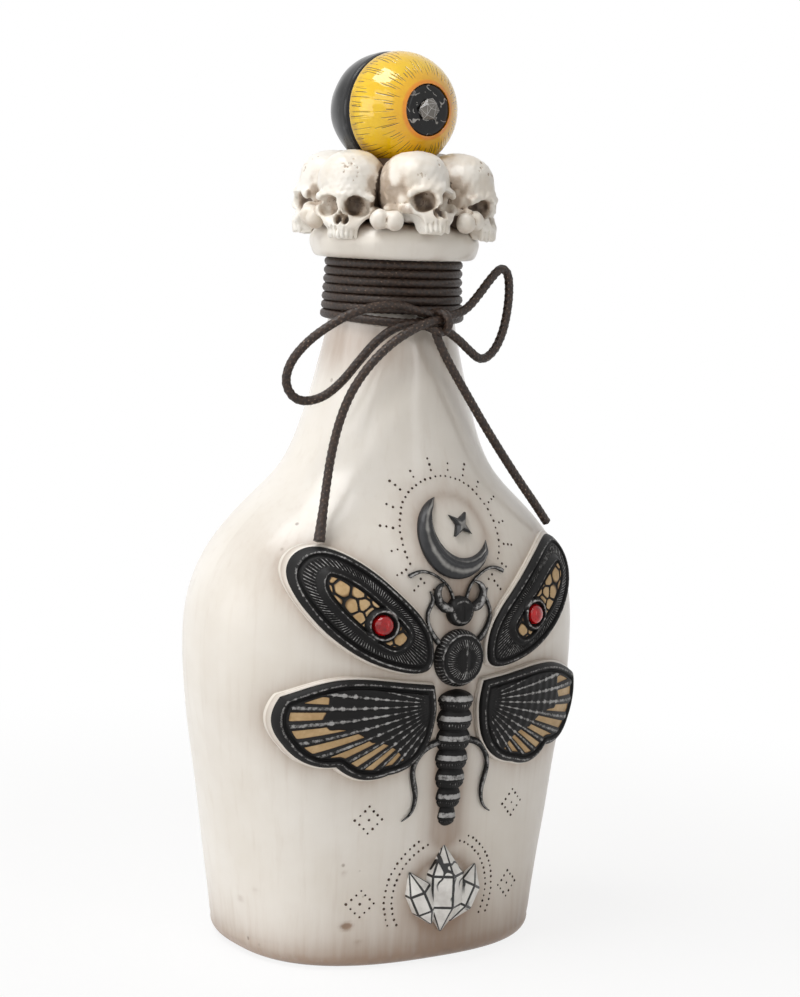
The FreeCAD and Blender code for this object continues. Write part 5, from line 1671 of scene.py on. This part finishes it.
rubbed += 0.55 * inner_zone * step(arcs, 0.55, 0.95) * step(fan, -0.2, 0.3)
wing_masks = {"silver": np.clip(rubbed, 0, 1), "tan": np.clip(panes * 1.2, 0, 1)}
relief_pair("fan_wing", "hind_wing", "relief_black", relief, flat, lift, wing_masks)

# %% [markdown]
# ## Beetle's body
# The thorax is a dome with a keel and short combed strokes, the abdomen is a tapering row of
# rounded segments, and the head is a small dome with two curved mandibles. Legs and feelers are
# thin tapering rods laid on the skin. Everything is black, rubbed with silver on its high places.

# %% Thorax and abdomen
THORAX = (0.0, 69.0)
THORAX_HALF = (6.1, 6.3)
THORAX_RISE = 3.9
flat = filled(circle_line(THORAX, THORAX_HALF, 320), THORAX, 70)
across, up_way = np.moveaxis((flat - THORAX) / THORAX_HALF, -1, 0)
share = np.hypot(across, up_way)
around = np.arctan2(up_way, across)
combed = 0.5 + 0.5 * np.cos(around * 46 + 1.2 * np.sin(share * 9))
keel_zone = step(share, 0.8, 0.6)
dome_zone = step(share, 0.74, 0.68)
rim_zone = step(share, 0.88, 0.93)
lift = 0.5 + (THORAX_RISE - 0.9) * domed(share, 2.4)
lift += 0.28 * bell(share, 0.86, 0.05) - 0.22 * bell(share, 0.75, 0.045)
beside_keel = 0.22 * bell(np.abs(across), 0.22, 0.07) * step(share, 0.75, 0.6)
lift += 0.30 * bell(across, 0, 0.09) * keel_zone - beside_keel
lift += 0.13 * combed * step(share, 0.2, 0.4) * dome_zone + 0.12 * combed * rim_zone
rubbed = 0.8 * bell(share, 0.86, 0.04) + 0.6 * bell(across, 0, 0.06) * keel_zone
rubbed += 0.8 * step(combed, 0.55, 0.95) * (step(share, 0.3, 0.5) * dome_zone + rim_zone)
masks = {"silver": np.clip(rubbed, 0, 1)}
relief_piece("domed_thorax", "beetle_thorax", "relief_black", relief, flat, lift, masks)

ABDOMEN_TOP = 62.0
ABDOMEN_TIP = 31.0
ABDOMEN_RADIUS = 4.4
SEGMENTS = 7
WAIST = 0.75
ABDOMEN_ROWS = 240
ABDOMEN_SIDES = 72
heights = np.linspace(0, 1, ABDOMEN_ROWS)
segment = np.minimum((heights * SEGMENTS).astype(int), SEGMENTS - 1)
place = heights * SEGMENTS - segment
crest = ABDOMEN_RADIUS * np.sqrt(1 - (1 - (segment + 1) / SEGMENTS) ** 2)
before = WAIST * ABDOMEN_RADIUS * np.sqrt(1 - (1 - segment / SEGMENTS) ** 2)
after = np.where(segment < SEGMENTS - 1, WAIST * crest, 0.3)
swell = np.sin(math.pi * np.clip(place, 0, 1)) ** 0.6
girth = (before + (after - before) * place) * (1 - swell) + crest * swell
girth = np.maximum(girth, 0.15)
tilt = np.linspace(0, math.pi, ABDOMEN_SIDES)
comb = 0.5 + 0.5 * np.cos(tilt * 38)[None]
girth = girth[:, None] - 0.10 * (1 - comb) * (swell[:, None] > 0.55) * step(place, 0.5, 0.35)[:, None]
girth -= 0.22 * bell(place, 0.36, 0.05)[:, None]
x = -girth * np.cos(tilt)[None]
z = (ABDOMEN_TIP + (ABDOMEN_TOP - ABDOMEN_TIP) * heights)[:, None] + 0 * x
top = on_skin(x, z, SUNK + 0.1 + girth * np.sin(tilt)[None])
under = on_skin(x[:, ::-1], z[:, ::-1], np.full(x.shape, SUNK))
rounds = np.concatenate([top, under[:, 1:-1]], axis=1)
rubbed = swell[:, None] ** 3 * (0.25 + 0.75 * step(comb, 0.45, 0.95)) * step(place, 0.42, 0.32)[:, None]
rubbed += 1.1 * (step(place, 0.46, 0.56) * step(place, 0.82, 0.72))[:, None]
rubbed *= step(np.sin(tilt), 0.05, 0.45)[None]
bare = np.zeros((ABDOMEN_ROWS, ABDOMEN_SIDES - 2))
masks = {"silver": np.concatenate([np.clip(rubbed, 0, 1), bare], axis=1)}
belly = grid_piece("segmented_abdomen", rounds, relief, masks)
wears(outward(belly, capped=True), "bottle", "relief_black", "beetle_abdomen")

# %% Head, mandibles, feelers and legs
HEAD = (0.0, 79.3)
HEAD_RADIUS = 3.3
HEAD_EYE = (1.75, 80.4)
flat = filled(circle_line(HEAD, HEAD_RADIUS, 160), HEAD, 40)
share = away_from(flat, HEAD) / HEAD_RADIUS
eyes = bell(away_from(np.abs(flat), HEAD_EYE), 0, 0.8)
lift = 0.6 + 1.6 * domed(share) + 0.55 * eyes - 0.25 * bell(flat[..., 0], 0, 0.22)
rubbed = 0.75 * bell(share, 0.72, 0.12) * (1 - eyes) + 0.5 * step(eyes, 0.75, 0.98)
head_points, head_masks = closed_sheet(flat, lift, {"silver": np.clip(rubbed, 0, 1)})


def laid_rod(stations, radii, lift_mm, rings=90, sides=12):
    """A tapering round rod along a smooth line over the skin, closed at both ends."""
    line = natural_spline(stations, rings)
    thick = np.interp(np.linspace(0, 1, rings), np.linspace(0, 1, len(radii)), radii)
    thick[0] = thick[-1] = 0.02
    way = np.gradient(line, axis=0)
    way /= np.linalg.norm(way, axis=1)[:, None]
    angle = round_angles(sides)
    sideways = np.stack([-way[:, 1], way[:, 0]], -1)
    flat = line[:, None] + sideways[:, None] * (thick[:, None] * np.cos(angle))[..., None]
    points = on_skin(flat[..., 0], flat[..., 1], lift_mm + thick[:, None] * np.sin(angle))
    silver = np.broadcast_to(step(np.sin(angle), 0.55, 1.0), flat.shape[:2])
    return points, 0.85 * silver


def gathered(name, node, slot, finish, parts):
    """Several grids as one piece. Each part is its points and its silver mask."""
    points, faces, silver, count = [], [], [], 0
    for grid, mask in parts:
        points.append(grid.reshape(-1, 3))
        faces.append(grid_faces(*grid.shape[:2]) + count)
        silver.append(mask.ravel())
        count += grid.shape[0] * grid.shape[1]
    made = piece(name, np.vstack(points), np.vstack(faces), finish, {"silver": np.concatenate(silver)})
    wears(outward(made, capped=True), "bottle", slot, node)


MANDIBLE = ((2.2, 79.9), (4.6, 80.6), (5.9, 82.6), (5.4, 84.8), (3.6, 85.7))
FEELER = ((1.6, 81.6), (2.6, 84.2), (5.6, 87.0), (9.6, 88.2), (12.4, 87.2))
FORE_LEG = ((5.2, 72.6), (7.6, 75.8), (8.0, 79.6), (6.9, 82.4), (7.6, 84.0))
HIND_LEG = ((3.6, 50.6), (7.2, 49.2), (9.8, 44.6), (8.8, 39.2), (9.9, 34.6), (11.8, 33.2))
RODS = (
    (MANDIBLE, (0.95, 1.15, 0.95, 0.7, 0.15), 0.7),
    (FEELER, (0.42, 0.36, 0.3, 0.34, 0.5), 0.25),
    (FORE_LEG, (0.7, 0.6, 0.42, 0.5, 0.2), 0.3),
    (HIND_LEG, (0.8, 0.72, 0.55, 0.62, 0.4, 0.15), 0.3),
)
rods = [(head_points, head_masks["silver"])]
for side in (1, -1):
    for stations, radii, height in RODS:
        rods.append(laid_rod([(x * side, z) for x, z in stations], radii, height))
gathered("head_and_legs", "beetle_head", "relief_black", relief, rods)

# %% [markdown]
# ## Crescent and star
# Both are cast in dark pewter. The crescent is a strip between two arcs with a rounded back, brushed
# along its length, and the star is a low pyramid whose ridges run to its points.

# %% Crescent and star
pewter = Finish("dark_pewter", specular_ior_level=0.5)
brush = pewter.noise(500, 3.0, 0.6)
cast = pewter.noise(110, 3.0)
wear_and_glint = (pewter.mask("silver") * 0.8 + (brush - 0.5) * 0.8 + (cast - 0.5) * 0.9).between(0.25, 0.95)
metal = pewter.mix(cast, tint(26, 26, 28), tint(46, 46, 48))
pewter.paint("Base Color", pewter.mix(wear_and_glint * 0.62, metal, tint(166, 164, 160)))
pewter.paint("Metallic", 0.2 + wear_and_glint * 0.4)
pewter.paint("Roughness", 0.34 + brush * 0.16)
pewter.bump(brush * 0.6 + cast * 0.6, 0.15, 0.5)

BITE_RADIUS = 7.3
BITE_OFFSET = 3.7
TILT = math.radians(50)
STRIP = 200
STRIP_ACROSS = 26
STAR_OFFSET = 3.4
STAR_POINT = 3.2
STAR_NOTCH = 1.2
bite = arc_points(MEDALLION, BITE_OFFSET, TILT)
chord = (BITE_OFFSET ** 2 + CRESCENT_RADIUS ** 2 - BITE_RADIUS ** 2) / (2 * BITE_OFFSET)
half_outer = math.acos(chord / CRESCENT_RADIUS)
half_inner = math.acos((chord - BITE_OFFSET) / BITE_RADIUS)
outer_angle = TILT + np.linspace(half_outer, 2 * math.pi - half_outer, STRIP)
inner_angle = TILT + np.linspace(half_inner, 2 * math.pi - half_inner, STRIP)
outer_line = arc_points(MEDALLION, CRESCENT_RADIUS, outer_angle)
inner_line = arc_points(bite, BITE_RADIUS, inner_angle)
share = np.linspace(0, 1, STRIP_ACROSS)
flat = outer_line[:, None] * (1 - share[:, None]) + inner_line[:, None] * share[:, None]
width = np.linalg.norm(outer_line - inner_line, axis=1)[:, None]
arch = np.sin(math.pi * share)
lift = SUNK + 0.2 + np.minimum(1.0, width / 1.6) * (0.9 + 1.15 * arch ** 0.6)
lift += 0.05 * noise_at(np.dstack([flat, flat[..., :1]]), 2.4, 52)
lift -= 0.28 * bell(share, 0.72, 0.06) * np.minimum(1.0, width / 2.4)
top = on_skin(flat[..., 0], flat[..., 1], lift)
under = on_skin(flat[:, ::-1, 0], flat[:, ::-1, 1], np.full(flat.shape[:2], SUNK))
rounds = np.concatenate([top, under], axis=1)
rubbed = np.clip(bell(share, 0.42, 0.16) + 0.8 * bell(share, 0.86, 0.07), 0, 1)
rubbed = np.tile(np.concatenate([rubbed, np.zeros(STRIP_ACROSS)]), (STRIP, 1))
gathered("pewter_crescent", "crescent", "dark_metal", pewter, [(rounds, rubbed)])

star_middle = arc_points(MEDALLION, STAR_OFFSET, TILT)
corners = []
for corner in range(8):
    reach = STAR_NOTCH if corner % 2 else STAR_POINT
    corners.append(arc_points(star_middle, reach, TILT + math.pi * corner / 4))
star_line = evenly(np.array(corners), 240)
flat = filled(star_line, star_middle, 30)
inset = line_distance(flat, star_line)
lift = 0.55 + 0.95 * np.clip(inset / 0.75, 0, 1) ** 0.8
relief_piece("pewter_star", "star", "dark_metal", pewter, flat, lift, {"silver": step(inset, 0.25, 0.7)})

# %% [markdown]
# ## Plinths
# Each wing was cast with a thin step of bare resin round it, which shows as a cream edge under the
# black. The step is the wing's own outline, grown by less than a millimetre along its normals, and
# it lies under the painted plate.

# %% Plinths
PLINTH_MARGIN = 0.5
PLINTH_LIFT = 1.05


def grown(line, margin):
    """A closed outline moved outwards along its normals."""
    way = np.roll(line, -4, axis=0) - np.roll(line, 4, axis=0)
    out = np.stack([way[:, 1], -way[:, 0]], -1) / np.linalg.norm(way, axis=1)[:, None]
    after = np.roll(line, -1, axis=0)
    turns_left = (line[:, 0] * after[:, 1] - after[:, 0] * line[:, 1]).sum() > 0
    return line + margin * out * (1 if turns_left else -1)


stepped = (
    ("plinth_wing_case", wing_case_line, WING_CASE_MIDDLE),
    ("plinth_hind_wing", hind_wing_line, HIND_WING_MIDDLE),
)
for name, line, middle in stepped:
    rim = grown(line, PLINTH_MARGIN)[::2]
    flat = filled(rim, middle, 40)
    inset = line_distance(flat, rim)
    lift = rounded_edge(inset, PLINTH_LIFT, 0.5) + 0.05 * noise_at(np.dstack([flat, flat[..., :1]]), 6.0, 61)
    # Painted shade: the step is darker next to the black plate and where it meets the skin, over an even
    # light brown.
    plinth_wash_and_shade = 0.30 + 0.35 * step(inset, 0.45, 0.9) + 0.3 * step(inset, 0.12, 0.0)
    relief_pair(name, None, "resin", resin, flat, lift, {"stain": plinth_wash_and_shade})

# %% [markdown]
# ## Crystals
# Three six-sided crystals with a point at each end stand at the foot, the outer two leaning out.
# They were painted white with black along the edges and in a few cracks. The facets are raised
# fields, so the black lies in real grooves, and the cracks are thin bands of a noise.

# %% Crystals
CRYSTAL_RADIUS = 4.6
CRYSTAL_POINT = 6.5
SHARDS = ((1.0, 0.0, 0.0, 0.0), (0.7, 27.0, 2.4, 2.0), (0.7, -27.0, -2.4, 2.0))
BURIED = 1.6
CRYSTAL_BORDER = 0.52
CRYSTAL_RISE = 0.14

white_stone = Finish("white_crystal", coat_weight=0.3, coat_roughness=0.15, specular_ior_level=0.4)
chalk = white_stone.noise(260, 4.0, 0.6)
vein = white_stone.noise(120, 2.0, 0.5)
split = vein.between(0.462, 0.474) - vein.between(0.500, 0.512)
split = split * white_stone.noise(60, 2.0).between(0.46, 0.52)
groove = (white_stone.mask("edge") + (chalk - 0.5) * 0.5).between(0.10, 0.26)
milky = white_stone.mix(chalk.between(0.35, 0.75), tint(240, 239, 236), tint(206, 203, 199))
white_stone.paint("Base Color", white_stone.mix((groove + split).between(0.1, 0.8), milky, tint(22, 21, 20)))
white_stone.paint("Roughness", 0.26 + groove * 0.2 + chalk * 0.1)
white_stone.bump(chalk * 0.4 - split * 1.5, 0.2, 0.5)

crystal_skin = -on_skin(0.0, CRYSTAL_FOOT + CRYSTAL_LENGTH / 2, 0.0)[1]
crystals = []
for scale, lean, aside, rise in SHARDS:
    own = [(0.0, 0.0, 0.0), (0.0, 0.0, CRYSTAL_LENGTH * scale)]
    for height in (CRYSTAL_POINT, CRYSTAL_LENGTH - CRYSTAL_POINT):
        for side in range(6):
            c, s = cos_sin(60 * side + 30)
            own.append((CRYSTAL_RADIUS * scale * c, CRYSTAL_RADIUS * scale * s, height * scale))
    tip = Matrix.Rotation(math.radians(lean), 3, "Y")
    shifted = []
    for corner in own:
        x, y, z = tip @ Vector(corner)
        shifted.append((x + aside, min(y, BURIED) - crystal_skin, z + CRYSTAL_FOOT + rise))
    crystals.append(shifted)
cluster = faceted("painted_crystals", white_stone, crystals, CRYSTAL_BORDER, CRYSTAL_RISE)
wears(cluster, "bottle", "crystal", "crystal_cluster")

# %% [markdown]
# ## Dots
# Rows of tiny dark dots were pricked into the front: a ring with short rays round the crescent, an
# arch over the crystals and small diamonds beside the legs. A dot is one small shape, repeated by a
# recipe on points that lie on the uneven skin, each a little different in size.

# %% Dot recipe
prick = Finish("dark_prick", specular_ior_level=0.2)
grit = prick.noise(900, 2.0)
prick.paint("Base Color", prick.mix(grit.between(0.35, 0.65), tint(52, 42, 35), tint(88, 73, 62)))
prick.paint("Roughness", 0.6 + grit * 0.25)
prick.bump(grit, 0.1, 0.4)

dot_recipe = Recipe("pricked_dots", {
    "Radius": "Float", "Smallest": "Float", "Seed": "Int", "Material": "Material",
})
spots = dot_recipe.node("GeometryNodeMeshToPoints", {}, {"Mesh": dot_recipe.start.outputs[0]})
bead = dot_recipe.node("GeometryNodeMeshUVSphere", {}, {
    "Segments": 8, "Rings": 5, "Radius": dot_recipe.given("Radius"),
})
size = dot_recipe.node("FunctionNodeRandomValue", {"data_type": "FLOAT"}, {
    "Min_001": dot_recipe.given("Smallest"), "Max_001": 1.0, "Seed": dot_recipe.given("Seed"),
})
beads = dot_recipe.node("GeometryNodeInstanceOnPoints", {}, {
    "Points": spots.outputs[0], "Instance": bead.outputs[0], "Scale": pick(size.outputs, "Value_001"),
})
dot_recipe.finish(beads.outputs[0], dot_recipe.given("Material"))
print("dot recipe nodes:", len(dot_recipe.tree.nodes))

# %% Dots
DOT_RADIUS = 0.36
DOT_SINK = 0.1
SMALLEST_DOT = 0.7
DOT_SEED = 4
DOT_RING_RADIUS = 12.6
RING_DOTS = 60
RAYS = 20
RAY_REACHES = (14.1, 15.4, 16.6)
ARCH_CENTRE = (0.0, 15.5)
ARCH_DOTS = 17
ARCHES = ((12.4, -28, 70), (12.4, 110, 208), (14.2, -24, 62), (14.2, 118, 204))
DIAMONDS = ((19.0, 34.0), (19.5, 15.0))
DIAMOND_HALF = 3.0
CLEAR_OF_RELIEFS = 1.2
HEAD_CLEARING = (0.0, 81.0)
CLEAR_OF_HEAD = 7.0


def on_arc(centre, radius, first, last, count):
    return arc_points(centre, radius, np.radians(np.linspace(first, last, count)))


dots = [on_arc(MEDALLION, DOT_RING_RADIUS, 0, 360, RING_DOTS + 1)[:-1]]
for ray in range(RAYS):
    turn = 360 * (ray + 0.5) / RAYS
    for reach in RAY_REACHES[:3 if ray % 2 else 2]:
        dots.append(on_arc(MEDALLION, reach, turn, turn, 1))
for radius, first, last in ARCHES:
    dots.append(on_arc(ARCH_CENTRE, radius, first, last, ARCH_DOTS))
for across, up_way in DIAMONDS:
    for side in (1, -1):
        corners = on_arc((across * side, up_way), DIAMOND_HALF, 0, 360, 5)
        for corner, following in zip(corners, corners[1:]):
            dots.append(corner + np.linspace(0, 1, 4)[:-1, None] * (following - corner))
        dots.append(np.array([(across * side, up_way)]))
dots = np.vstack(dots)
rng = np.random.default_rng(23)
dots += rng.uniform(-0.09, 0.09, dots.shape)
mirrored = np.abs(dots)
clear_of = np.where(is_inside(mirrored, wing_case_line), 0, line_distance(mirrored, wing_case_line))
clear_of = np.minimum(clear_of, line_distance(mirrored, hind_wing_line))
for stations in (FEELER, FORE_LEG, HIND_LEG):
    run = natural_spline(stations, 60)
    gap = np.linalg.norm(mirrored[:, None] - run[None], axis=-1).min(1)
    clear_of = np.minimum(clear_of, gap)
dots = dots[(clear_of > CLEAR_OF_RELIEFS) & (away_from(dots, HEAD_CLEARING) > CLEAR_OF_HEAD)]
level = on_skin(dots[:, 0], dots[:, 1], 0.0)
level = on_skin(dots[:, 0], dots[:, 1], unevenness(level) - DOT_SINK)
carrier_mesh = bpy.data.meshes.new("dot_places")
carrier_mesh.from_pydata((level * MM).tolist(), [], [])
carrier = placed("dot_places", carrier_mesh)
dotted = dot_recipe.run("pricked_dots", carrier, {
    "Radius": DOT_RADIUS * MM, "Smallest": SMALLEST_DOT, "Seed": DOT_SEED, "Material": prick.material,
})
wears(dotted, "bottle", "relief_black")
print("dots:", len(dots))
